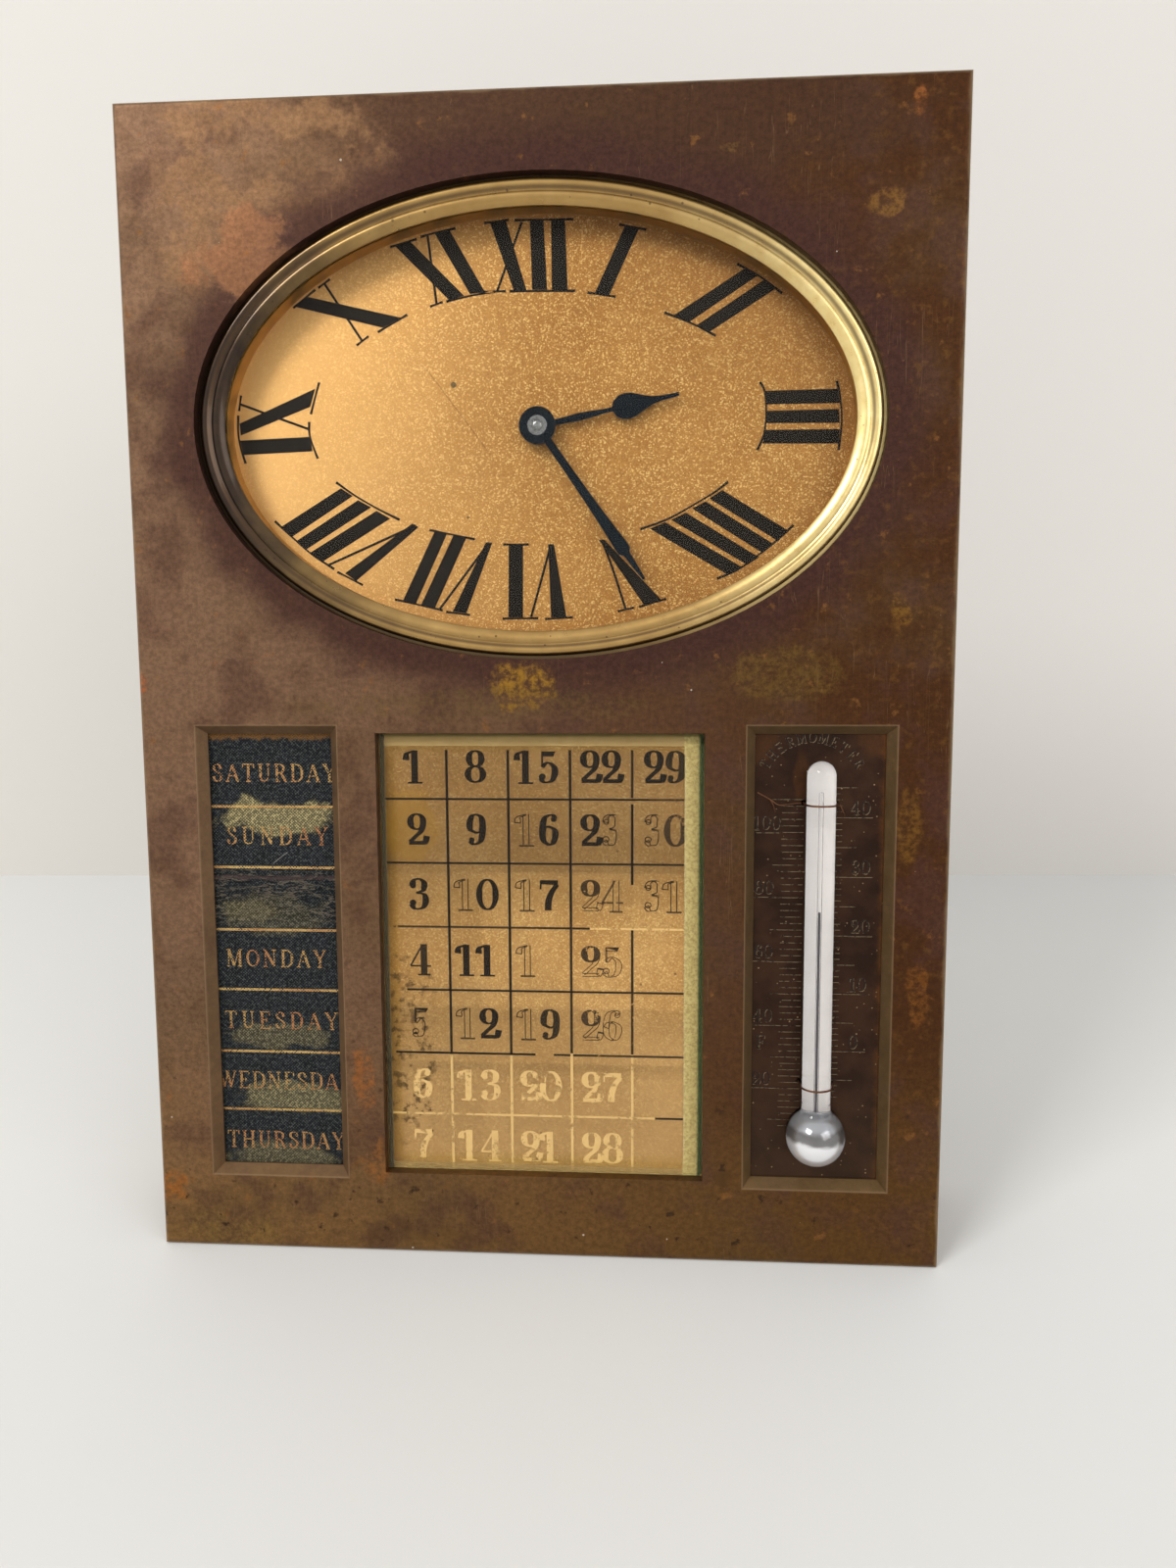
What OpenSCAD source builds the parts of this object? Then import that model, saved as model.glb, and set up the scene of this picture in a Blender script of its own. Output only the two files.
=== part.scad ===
// Desk clock with calendar and thermometer: a leaning cast case with an easel strut, an oval dial, a cloth
// belt of day names on two rollers, a card of dates under glass and a thermometer on a scale plate.
// Everything is drawn in the frame of the case front: x to the right from its middle, y back from its
// front face and z up along it from its lower edge. leaned() then tilts it and stands it on its base.

/* [Case] */
// Width of the case
case_w = 128; // [124:1:140]
// Height of the case along its front
case_h = 182; // [181:1:200]
// Thickness of the front face
face_t = 2; // [1.6:0.1:2.4]
// Thickness of the side walls
wall_t = 2.4; // [1.8:0.1:2.8]
// Radius of the outer front edges
edge_r = 1; // [0.4:0.1:1.5]
// Backward lean of the case, in degrees
lean = 10; // [8:0.5:13]
// Thickness of the rear cover
cover_t = 1.2; // [0.8:0.1:2]
// Radius of the four lugs that hold the cover
lug_r = 3.2; // [2.8:0.1:4]
// Radius of a cover screw's shank
screw_r = 1.1; // [0.8:0.1:1.4]

/* [Oval dial] */
// Distance of the dial centre below the case's upper edge
dial_drop = 48; // [44:0.5:50]
// Width of the face on each side of the oval opening
oval_side = 10.9; // [9.5:0.1:14]
// Half height of the oval opening
oval_b = 36.1; // [35:0.1:38]
// Depth of the dial below the front face
dial_depth = 6.4; // [6.2:0.1:8]
// Thickness of the dial
dial_t = 0.8; // [0.5:0.1:1.2]
// Thickness of the dial glass
glass_t = 1.4; // [1:0.1:1.6]
// Visible width of the brass bezel
bezel_w = 3.9; // [3.4:0.1:5]
// Depth of the bezel's crown below the front face
bezel_inset = 0.75; // [0.4:0.05:1]

/* [Hands] */
// Length of the hour hand
hour_len = 22.4; // [16:0.2:26]
// Length of the minute hand
minute_len = 29; // [24:0.2:31]
// Thickness of each hand
hand_t = 0.3; // [0.2:0.05:0.5]
// Hour hand, degrees clockwise from twelve
hour_turn = 78.5; // [0:0.5:359.5]
// Minute hand, degrees clockwise from twelve
minute_turn = 145; // [0:1:359]
// Radius of the boss of the hands
boss_r = 2.85; // [2.6:0.05:3.4]

/* [Windows] */
// Lower edge of the windows
window_z = 12.7; // [11:0.1:14]
// Height of the face between the side windows and the oval opening
window_drop = 10.3; // [8.5:0.1:15]
// Width of the two side windows
window_w = 23; // [20:0.1:24]
// Width of the face outside the day window
day_edge = 9; // [7.8:0.1:10]
// Width of the face outside the thermometer window
thermo_edge = 8.4; // [7.8:0.1:10]
// Width of the face between the day window and the date window
day_mullion = 6.2; // [5.8:0.1:9]
// Width of the face between the date window and the thermometer window
thermo_mullion = 6.4; // [5.8:0.1:9]
// Width of the bevel round the side windows
bevel_w = 1.4; // [0.8:0.1:1.8]
// Height of the face between the date window and the oval opening
date_drop = 11.5; // [10:0.1:16]
// Lower edge of the date window
date_z = 13.8; // [12:0.1:16]

/* [Day belt] */
// Thickness of the cloth belt
belt_t = 0.35; // [0.25:0.05:0.6]
// Radius of the rollers
roller_r = 3.6; // [3.5:0.1:4.2]
// Overlap of the belt past each side of its window
belt_lap = 0.75; // [0.4:0.05:1]
// Distance of each roller's axis past the window
roller_past = 2.7; // [2.2:0.1:3.5]
// Thickness of the roller frame's sheet
frame_t = 1.2; // [0.8:0.1:1.4]
// Radius of the roller axles
axle_r = 1; // [0.8:0.1:1.4]
// Teeth of the thumbwheel
thumb_teeth = 30; // [28:2:34]
// Teeth of the roller's pinion
pinion_teeth = 14; // [14:1:16]
// Tooth module of the thumbwheel
thumb_m = 0.5; // [0.48:0.01:0.54]
// Thickness of the thumbwheel
thumb_t = 2; // [1.6:0.1:2.2]

/* [Dates] */
// Thickness of the bevelled glass over the dates
pane_t = 2.2; // [1.8:0.1:2.6]
// Width of the pane's bevel
pane_bevel = 3; // [1.5:0.1:4]
// Thickness of the date card
card_t = 0.5; // [0.3:0.1:0.8]
// Width of the tray's rim behind the face
tray_lap = 2.6; // [2:0.1:2.8]
// Thickness of the tray
tray_t = 0.8; // [0.5:0.1:1.2]

/* [Thermometer] */
// Radius of the thermometer tube
tube_r = 2.3; // [1.6:0.1:2.6]
// Radius of the bulb
bulb_r = 4.67; // [3.6:0.01:5]
// Height of the bulb's middle above the window's lower edge
bulb_rise = 9.3; // [7:0.1:14]
// Distance of the tube's top below the window's upper edge
tube_drop = 5.4; // [3:0.1:12]
// Length of the mercury column above the bulb's middle
mercury_len = 36.6; // [10:0.2:52]
// Radius of the mercury column
mercury_r = 0.3; // [0.2:0.05:0.5]
// Thickness of the scale plate
scale_t = 1; // [0.8:0.1:1.5]
// Radius of the tie wires
wire_r = 0.16; // [0.12:0.02:0.25]

/* [Movement] */
// Thickness of the movement plates
mplate_t = 1.4; // [1:0.1:2]
// Thickness of the wheels
wheel_t = 0.8; // [0.6:0.05:1]
// Gap between one wheel and the next along the arbors
layer_gap = 0.5; // [0.4:0.05:0.8]
// Radius of the centre arbor
arbor_r = 1; // [0.9:0.05:1.1]
// Radius of the thin arbors
thin_r = 0.6; // [0.5:0.05:0.7]
// Radius of the pivots at the ends of the thin arbors
pivot_r = 0.35; // [0.25:0.05:0.45]
// Tooth module of the great wheel
great_m = 0.35; // [0.34:0.005:0.36]
// Tooth module of the centre wheel
centre_m = 0.28; // [0.275:0.005:0.29]
// Tooth module of the third wheel
third_m = 0.25; // [0.24:0.005:0.26]
// Tooth module of the fourth wheel
fourth_m = 0.2; // [0.195:0.005:0.21]
// Tooth module of the cannon pinion
motion_m = 0.4; // [0.39:0.005:0.41]
// Radius of the barrel's drum
drum_r = 11.6; // [10.5:0.1:11.7]
// Radius of the balance wheel
balance_r = 7; // [6:0.1:7.4]
// Radius of the movement's pillars
pillar_r = 1.6; // [1.2:0.1:1.8]
// Thickness of the straps that hold the movement
strap_t = 1.2; // [1:0.1:1.8]
// Radius of the posts that the straps are screwed to
post_r = 2.8; // [2.4:0.1:3]
// Radius of the setting knob
knob_r = 5; // [4:0.1:6]
// Radius of each wing of the winding key
wing_r = 4.6; // [3.5:0.1:5.5]

/* [Strut] */
// Distance of the strut's hinge below the dial centre
hinge_drop = 22; // [18:1:38]
// Opening angle of the strut, in degrees
strut_angle = 22; // [18:0.5:28]
// Thickness of the strut's sheet
strut_t = 1.6; // [1.2:0.1:2]
// Width of the strut at its foot
strut_w = 34; // [26:0.5:44]
// Width of the strut at its shoulders
shoulder_w = 26; // [24:0.5:30]
// Height of the hinge pin above the cover
hinge_h = 3.4; // [3.2:0.1:4.5]
// Radius of the hinge pin
hinge_pin_r = 1; // [0.8:0.1:1.2]
// Radius of the hinge knuckles
knuckle_r = 2.1; // [1.9:0.1:2.2]

/* [Clearances] */
// Radial clearance of a running fit
run_gap = 0.05; // [0.03:0.01:0.08]
// Gap between pieces that only lie near each other
free_gap = 0.3; // [0.25:0.05:0.4]

/* [Hidden] */
$fn = 48;
slim = 0.02;              // clearance of pieces pressed or pushed together
through = 1;              // how far a cutting shape runs past the face it cuts
land_t = 0.3;             // straight part of the wall below a window's bevel
lug_len = 9;              // length of the cover lugs
oval_steps = 96;          // flats round the oval
tooth_top = 0.8;          // tooth height above the pitch circle, in modules
tooth_foot = 1.15;        // tooth depth below the pitch circle, in modules
tip_share = 0.1;          // half width of a tooth's tip, as a share of the pitch
root_share = 0.27;        // half width of a tooth's root, as a share of the pitch

// Depths behind the front face, from the dial to the rear cover
motion_room = 3 * layer_gap + 2 * wheel_t + 0.7;
train_room = layer_gap + 5 * (wheel_t + layer_gap);
plate1_d0 = dial_depth + dial_t + motion_room;
plate1_d1 = plate1_d0 + mplate_t;
plate2_d0 = plate1_d1 + train_room;
plate2_d1 = plate2_d0 + mplate_t;
cover_room = 0.8;
cover_d0 = plate2_d1 + cover_room;
case_d = cover_d0 + cover_t;
base_mid = case_d / cos(lean) / 2;
floor_slope = tan(lean);
function train_layer(i) = plate1_d1 + layer_gap + i * (wheel_t + layer_gap);
function motion_layer(i) = plate1_d0 - (i + 1) * (wheel_t + layer_gap);

// Openings of the face, placed from the edges of the case
dial_z = case_h - dial_drop;
oval_a = case_w / 2 - oval_side;
window_h = dial_z - oval_b - window_drop - window_z;
date_h = dial_z - oval_b - date_drop - date_z;
day_x = case_w / 2 - day_edge - window_w / 2;
thermo_x = case_w / 2 - thermo_edge - window_w / 2;
date_x0 = -day_x + window_w / 2 + day_mullion;
date_x1 = thermo_x - window_w / 2 - thermo_mullion;

// The oval opening and everything that follows it
function oval_normal(t) = let (n = [cos(t) / oval_a, sin(t) / oval_b]) n / norm(n);
function oval_point(t, out) = [oval_a * cos(t), oval_b * sin(t)] + out * oval_normal(t);
function oval(out) = [for (i = [0:oval_steps - 1]) oval_point(360 * i / oval_steps, out)];
bezel_gap = 0.5;
bezel_lip = -bezel_gap - bezel_w;
glass_seat = bezel_inset + 1.3;
glass_back = glass_seat + slim + glass_t;
flange_out = 1.8;
flange_t = 0.8;
wall_out = -1.7;
glass_out = bezel_lip + 1.2;
post_turn = 33;

// Hands, from the glass to the dial
hand_span = dial_depth - glass_back;
minute_d = glass_back + 0.2 * hand_span;
hour_d = glass_back + 0.54 * hand_span;
boss_t = 0.26 * hand_span;
pipe_wall = 0.55;
cannon_r = arbor_r + 0.5;
hour_pipe_r = cannon_r + run_gap + pipe_wall;

// Belt, rollers and thumbwheel
belt_d = face_t + free_gap;
belt_w = window_w + 2 * belt_lap;
roller_d = belt_d + belt_t + roller_r;
roller_low_z = window_z - roller_past;
roller_high_z = window_z + window_h + roller_past;
belt_x0 = -day_x - belt_w / 2;
belt_x1 = -day_x + belt_w / 2;
pinion_x1 = belt_x0 - free_gap - 0.3;
pinion_x0 = pinion_x1 - thumb_t;
cheek_x0 = pinion_x0 - free_gap - frame_t;
cheek_x1 = belt_x1 + free_gap + frame_t;
web_d = roller_d + roller_r + belt_t + free_gap + 0.5;
thumb_d = roller_d + (thumb_teeth + pinion_teeth) * thumb_m / 2;
thumb_out_r = (thumb_teeth / 2 + tooth_top) * thumb_m;

// Dates
pane_gap = 0.4;
pane_d = 0.3;
pane_bevel_t = 0.9;
card_d = pane_d + pane_t;
tray_d = card_d + card_t;

// Thermometer
scale_d = face_t;
scale_lap = 1.5;
tube_d = scale_d - tube_r - slim;
bulb_z = window_z + bulb_rise;
tube_top_z = window_z + window_h - tube_drop;
bulb_hole_r = bulb_r - 0.2;
neck_z = 0.82 * bulb_r;
neck_r = sqrt(bulb_r * bulb_r - neck_z * neck_z);
tie_high_z = tube_top_z - 6.8;
tie_low_z = bulb_z + bulb_r + 3.6;

// Wheel train: places are measured from the dial centre
barrel_teeth = 72;
centre_leaves = 12;
centre_teeth = 64;
leaves = 8;
third_teeth = 60;
fourth_teeth = 70;
escape_leaves = 7;
escape_teeth = 15;
cannon_leaves = 12;
minute_teeth = 36;
minute_leaves = 10;
hour_teeth = 40;
ratchet_teeth = 24;
function turned(reach, angle) = reach * [cos(angle), sin(angle)];
function bearing(p, q) = atan2(q[1] - p[1], q[0] - p[0]);
centre_at = [0, 0];
barrel_at = turned((barrel_teeth + centre_leaves) * great_m / 2, 125);
third_at = turned((centre_teeth + leaves) * centre_m / 2, -20);
fourth_at = third_at + turned((third_teeth + leaves) * third_m / 2, -100);
escape_at = fourth_at + turned((fourth_teeth + escape_leaves) * fourth_m / 2, 180);
lever_at = escape_at + turned(5.2, 163);
balance_at = escape_at + turned(13.4, 163);
minute_at = turned((cannon_leaves + minute_teeth) * motion_m / 2, -30);
hour_m = 2 * norm(minute_at) / (minute_leaves + hour_teeth);
great_out_r = (barrel_teeth / 2 + tooth_top) * great_m;
mplate_r = norm(barrel_at) + great_out_r + 0.4;
pillar_reach = mplate_r - pillar_r - 1;
pillar_turns = [60, -50, -115, 190];
foot_reach = mplate_r - 3.6;
foot_turns = [20, 160, -150, -30];
foot_r = 0.8;
ratchet_r = 5;
escape_r = 3.6;
roller_table_r = 1.9;
pallet_gap = 0.27;
click_reach = 8.2;
click_turn = 160;
spring_t = 0.3;
barrel_pivot_r = 1.2;
winding_square = 1.6;
sleeve_r = (centre_leaves / 2 - tooth_foot) * great_m - slim;

// Posts, straps and lugs
post_at = oval_point(post_turn, flange_out + free_gap + post_r);
strap_w = 2 * post_r;
lug_high_z = case_h - wall_t - lug_r - 0.4;
lug_low_z = wall_t + case_d * floor_slope + lug_r + 0.4;
lug_high_x = 0.39 * case_w;
lug_low_x = 0.156 * case_w;
LUGS = [[-lug_high_x, lug_high_z], [lug_high_x, lug_high_z],
        [-lug_low_x, lug_low_z], [lug_low_x, lug_low_z]];
POSTS = [for (i = [-1, 1], j = [-1, 1]) [i * post_at[0], dial_z + j * post_at[1]]];

// Strut: the foot reaches the floor at the opening angle
hinge_z = dial_z - hinge_drop;
hinge_d = case_d + hinge_h;
hinge_plate_t = 1;
strut_len = (hinge_z * cos(lean) - hinge_d * sin(lean)) / cos(strut_angle - lean);
stop_gap = 0.05;
heel = (hinge_h - hinge_plate_t - stop_gap - strut_t / 2 * cos(strut_angle)) / sin(strut_angle);
knuckle_half = 7.4;
outer_knuckle = 5;

// ---- helpers ----

// Tilts what is drawn in the frame of the case front and sets its base on the floor
module leaned() {
    translate([0, -base_mid, 0]) rotate([-lean, 0, 0]) children();
}

// Extrudes a flat shape drawn in x and z from depth d0 to depth d1
module slab(d0, d1, at = [0, 0]) {
    translate([at[0], d1, at[1]]) rotate([90, 0, 0]) linear_extrude(d1 - d0) children();
}

// A round bar along the depth
module rod(at, d0, d1, r) {
    translate([at[0], d1, at[1]]) rotate([90, 0, 0]) cylinder(r = r, h = d1 - d0);
}

// A round bar along x, at depth d and height z
module axle(x0, x1, d, z, r) {
    translate([x0, d, z]) rotate([0, 90, 0]) cylinder(r = r, h = x1 - x0);
}

// Extrudes a flat shape drawn in depth and height along x
module across(x0, x1) {
    translate([x0, 0, 0]) rotate([90, 0, 90]) linear_extrude(x1 - x0) children();
}

// A block given by its limits
module block(x0, x1, d0, d1, z0, z1) {
    translate([x0, d0, z0]) cube([x1 - x0, d1 - d0, z1 - z0]);
}

// Puts what is drawn round the dial centre in its place
module at_dial() {
    translate([0, 0, dial_z]) children();
}

// A rectangle with corners (x0, z0) and (x1, z1) whose sides slope by "bevel" over the depth d0 to d1
module bevelled_block(x0, x1, z0, z1, d0, d1, bevel) {
    intersection() {
        translate([0, 0, z0 - through]) linear_extrude(z1 - z0 + 2 * through)
            polygon([[x0, d0], [x1, d0], [x1 - bevel, d1], [x0 + bevel, d1]]);
        across(x0 - through, x1 + through)
            polygon([[d0, z0], [d1, z0 + bevel], [d1, z1 - bevel], [d0, z1]]);
    }
}

// Corner points of a round front edge in the plan of the case
function edge_arc(cx, cy, from) =
    [for (a = [0:22.5:90]) [cx + edge_r * cos(from + a), cy + edge_r * sin(from + a)]];

// A straight bar between two points, in the flat
module bar(p, q, w) {
    n = [p[1] - q[1], q[0] - p[0]] / norm(q - p) * w / 2;
    polygon([p + n, p - n, q - n, q + n]);
}

// A gear outline, its first tooth centred at the angle "first"
module gear(teeth, m, first = 0) {
    pitch = 360 / teeth;
    r_root = (teeth / 2 - tooth_foot) * m;
    r_tip = (teeth / 2 + tooth_top) * m;
    polygon([for (i = [0:teeth - 1])
        for (p = [[r_root, -root_share], [r_tip, -tip_share], [r_tip, tip_share], [r_root, root_share]])
            turned(p[0], first + (i + p[1]) * pitch)]);
}

// A wheel outline with its web crossed out into spokes
module crossed_wheel(teeth, m, first, hub, spokes = 4) {
    rim = (teeth / 2 - tooth_foot) * m - 0.7;
    difference() {
        gear(teeth, m, first);
        difference() {
            circle(rim);
            circle(hub);
            for (i = [0:spokes - 1]) bar([0, 0], turned(rim + 0.2, first + 360 / spokes * (i + 0.5)), 0.8);
        }
    }
}

// First tooth angles that put a tooth of p's gear into a gap of q's gear
function tooth_to(p, q) = bearing(p, q);
function gap_to(p, q, teeth) = bearing(p, q) + 180 / teeth;

// A flat spiral strip
module spiral(r0, r1, turns, strip, step = 15) {
    count = turns * 360 / step;
    function reach(i) = r0 + (r1 - r0) * i / count;
    polygon(concat([for (i = [0:count]) turned(reach(i), i * step)],
                   [for (i = [count:-1:0]) turned(reach(i) + strip, i * step)]));
}

// An arbor between the plates with a pivot at each end
module thin_arbor(at, r = thin_r) {
    rod(at, plate1_d1 + slim, plate2_d0 - slim, r);
    rod(at, plate1_d0 + slim, plate2_d1 - slim, pivot_r);
}

// A pinion on the layer of the wheel that drives it
module pinion(at, teeth, m, first, i) {
    slab(train_layer(i) - 0.1, train_layer(i) + wheel_t + 0.1, at) gear(teeth, m, first);
}

// An outline symmetric about the line through the dial centre, from pairs of reach and half width
module hand_outline(pairs) {
    count = len(pairs);
    polygon(concat([for (i = [0:count - 1]) [pairs[i][1], pairs[i][0]]],
                   [for (i = [count - 1:-1:0]) [-pairs[i][1], pairs[i][0]]]));
}

// Everything below the floor line of the leaning case
module below_floor(reach) {
    translate([-reach, -reach, -reach]) cube([2 * reach, 3 * reach, reach]);
}

// ---- case ----

module case_block() {
    w = case_w / 2;
    intersection() {
        translate([0, 0, -case_h]) linear_extrude(3 * case_h)
            polygon(concat([[w, case_d], [-w, case_d]],
                           edge_arc(-w + edge_r, edge_r, 180), edge_arc(w - edge_r, edge_r, 270)));
        across(-w - through, w + through)
            polygon(concat([[case_d, case_d * floor_slope], [case_d, case_h]],
                           [for (a = [90:22.5:180])
                                [edge_r + edge_r * cos(a), case_h - edge_r + edge_r * sin(a)]],
                           [[0, edge_r], [0.3 * edge_r, 0.35 * edge_r], [edge_r, edge_r * floor_slope]]));
    }
}

// The room inside the case, drawn in by "gap" on every side, between two depths
module case_room(gap, d0, d1) {
    across(-case_w / 2 + wall_t + gap, case_w / 2 - wall_t - gap)
        polygon([[d0, wall_t + gap + d0 * floor_slope], [d1, wall_t + gap + d1 * floor_slope],
                 [d1, case_h - wall_t - gap], [d0, case_h - wall_t - gap]]);
}

// A side window: a bevel through the face and a short straight land below it
module side_window(x) {
    half = window_w / 2;
    z1 = window_z + window_h;
    slope = bevel_w / (face_t - land_t);
    bevelled_block(x - half - slope * through, x + half + slope * through,
                   window_z - slope * through, z1 + slope * through,
                   -through, face_t - land_t, bevel_w + slope * through);
    block(x - half + bevel_w, x + half - bevel_w, 0, face_t + through, window_z + bevel_w, z1 - bevel_w);
}

module front_case() {
    color("#6b4a33") leaned() difference() {
        union() {
            difference() {
                case_block();
                case_room(0, face_t, case_d + through);
            }
            for (p = POSTS) rod(p, face_t - slim, plate1_d0 - strap_t, post_r);
            for (p = LUGS) {
                wall = p[1] > case_h / 2 ? case_h : 0;
                rod(p, cover_d0 - lug_len, cover_d0, lug_r);
                intersection() {
                    case_block();
                    block(p[0] - lug_r, p[0] + lug_r, cover_d0 - lug_len, cover_d0,
                          min(p[1], wall), max(p[1], wall));
                }
            }
        }
        at_dial() slab(-through, face_t + through) polygon(oval(0));
        side_window(-day_x);
        side_window(thermo_x);
        block(date_x0, date_x1, -through, face_t + through, date_z, date_z + date_h);
        for (p = POSTS) rod(p, plate1_d0 - strap_t - 5, plate1_d0, screw_r + run_gap);
        for (p = LUGS) rod(p, cover_d0 - lug_len + 2, case_d, screw_r + run_gap);
    }
}

module rear_cover() {
    color("#8a6a3c") leaned() difference() {
        case_room(0.15, cover_d0, case_d);
        for (p = LUGS) rod(p, cover_d0 - through, case_d + through, screw_r + run_gap);
        rod([0, dial_z], cover_d0 - through, case_d + through, arbor_r + free_gap);
        rod([barrel_at[0], dial_z + barrel_at[1]], cover_d0 - through, case_d + through,
            barrel_pivot_r + free_gap);
        block(pinion_x0 - free_gap - 0.2, pinion_x1 + free_gap + 0.2, cover_d0 - through, case_d + through,
              roller_high_z - thumb_out_r - free_gap, roller_high_z + thumb_out_r + free_gap);
    }
}

// Pan head screws: a head on the outside and a shank in its hole
module screw(at, head_d0, head_d1, tip_d) {
    rod(at, min(head_d1, tip_d), max(head_d0, tip_d), screw_r);
    difference() {
        rod(at, min(head_d0, head_d1), max(head_d0, head_d1), 1.9 * screw_r);
        block(at[0] - 2 * screw_r, at[0] + 2 * screw_r, head_d1 - 0.5, head_d1 + through,
              at[1] - 0.25, at[1] + 0.25);
    }
}

module cover_screws() {
    color("#b08d4a") leaned() for (p = LUGS) screw(p, case_d, case_d + 1.1, cover_d0 - lug_len + 3);
}

// ---- oval dial ----

// A ring whose section is swept along the oval: points of the section are pairs of outward reach and depth
module oval_ring(section) {
    n = len(section);
    points = [for (i = [0:oval_steps - 1]) for (s = section)
        let (p = oval_point(360 * i / oval_steps, s[0])) [p[0], s[1], p[1]]];
    faces = [for (i = [0:oval_steps - 1]) for (j = [0:n - 1])
        let (k = (i + 1) % oval_steps, l = (j + 1) % n)
        each [[i * n + j, i * n + l, k * n + l], [i * n + j, k * n + l, k * n + j]]];
    polyhedron(points, faces, convexity = 6);
}

module oval_bezel() {
    c = bezel_inset;
    o = -bezel_gap;
    color("#b98d3e") leaned() at_dial() oval_ring([
        [o, face_t], [o, c + 0.7], [o - 0.15, c + 0.35], [o - 0.5, c + 0.08], [o - 0.95, c],
        [o - 1.4, c + 0.12], [o - 1.65, c + 0.4], [o - 1.9, c + 0.5], [o - 2.1, c + 0.4],
        [o - 2.35, c + 0.25], [o - 2.8, c + 0.3],
        [bezel_lip, c + 0.95], [bezel_lip, glass_seat], [glass_out, glass_seat], [glass_out, dial_depth],
        [wall_out, dial_depth], [wall_out, face_t + flange_t], [flange_out, face_t + flange_t],
        [flange_out, face_t]]);
}

module dial_glass() {
    color("#dfe8e4", 0.35) leaned() at_dial()
        slab(glass_seat + slim, glass_back) polygon(oval(glass_out - 0.08));
}

module sight_ring() {
    color("#c79c4c") leaned() at_dial() slab(glass_back + slim, dial_depth) difference() {
        polygon(oval(glass_out - 0.08));
        polygon(oval(bezel_lip + 0.3));
    }
}

module dial() {
    color("#c99a4e") leaned() at_dial() {
        slab(dial_depth, dial_depth + dial_t) difference() {
            polygon(oval(wall_out + 1.2));
            circle(hour_pipe_r + 0.4);
        }
        for (a = foot_turns) rod(turned(foot_reach, a), dial_depth + dial_t, plate1_d1 - slim, foot_r);
    }
}

// ---- hands ----

module hour_hand() {
    tip = hour_len;
    color("#1d2230") leaned() at_dial() rotate([0, hour_turn, 0]) difference() {
        union() {
            slab(hour_d, hour_d + hand_t) hand_outline([
                [0, 0.35], [4.5, 0.5], [6.5, 0.6], [8.5, 0.5], [10.5, 0.32], [tip - 10.5, 0.35],
                [tip - 10.1, 1.2], [tip - 9.2, 1.8], [tip - 8.2, 1.98], [tip - 7.1, 1.8], [tip - 5.8, 1.2],
                [tip - 4.2, 0.6], [tip - 2.8, 0.38], [tip, 0.28]]);
            rod([0, 0], hour_d, hour_d + boss_t, boss_r - 0.1);
        }
        rod([0, 0], hour_d - through, hour_d + boss_t + through, hour_pipe_r + slim);
    }
}

module minute_hand() {
    tip = minute_len;
    color("#1d2230") leaned() at_dial() rotate([0, minute_turn, 0]) difference() {
        union() {
            slab(minute_d, minute_d + hand_t) hand_outline([
                [0, 0.6], [8, 0.62], [0.52 * tip, 0.75], [0.69 * tip, 0.95], [0.78 * tip, 1.1],
                [0.815 * tip, 1.05], [0.835 * tip, 0.55], [0.9 * tip, 0.45], [tip, 0.22]]);
            rod([0, 0], minute_d, minute_d + boss_t, boss_r);
        }
        rod([0, 0], minute_d - through, minute_d + boss_t + through, cannon_r + slim);
    }
}

// ---- day belt ----

// The space inside a loop round both rollers, "out" outside their surface
module belt_loop(x0, x1, out) {
    r = roller_r + out;
    axle(x0, x1, roller_d, roller_low_z, r);
    axle(x0, x1, roller_d, roller_high_z, r);
    block(x0, x1, roller_d - r, roller_d + r, roller_low_z, roller_high_z);
}

module day_belt() {
    color("#20232c") leaned() difference() {
        belt_loop(belt_x0, belt_x1, belt_t);
        belt_loop(belt_x0 - through, belt_x1 + through, slim);
    }
}

module roller_core(z) {
    difference() {
        axle(belt_x0, belt_x1, roller_d, z, roller_r);
        axle(belt_x0 - through, belt_x1 + through, roller_d, z, axle_r + slim);
    }
}

module upper_roller() {
    color("#8d6a45") leaned() roller_core(roller_high_z);
}

module lower_roller() {
    color("#8d6a45") leaned() roller_core(roller_low_z);
}

module upper_axle() {
    color("#b39045") leaned() {
        axle(cheek_x0 + 0.1, cheek_x1 - 0.1, roller_d, roller_high_z, axle_r);
        translate([0, roller_d, roller_high_z]) across(pinion_x0, pinion_x1)
            gear(pinion_teeth, thumb_m, 180 + 180 / pinion_teeth + 180);
    }
}

module lower_axle() {
    color("#b39045") leaned() axle(cheek_x0 + 0.1, cheek_x1 - 0.1, roller_d, roller_low_z, axle_r);
}

module thumbwheel() {
    color("#b39045") leaned() difference() {
        translate([0, thumb_d, roller_high_z]) across(pinion_x0, pinion_x1) gear(thumb_teeth, thumb_m, 180);
        axle(pinion_x0 - through, pinion_x1 + through, thumb_d, roller_high_z, axle_r + run_gap);
    }
}

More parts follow.
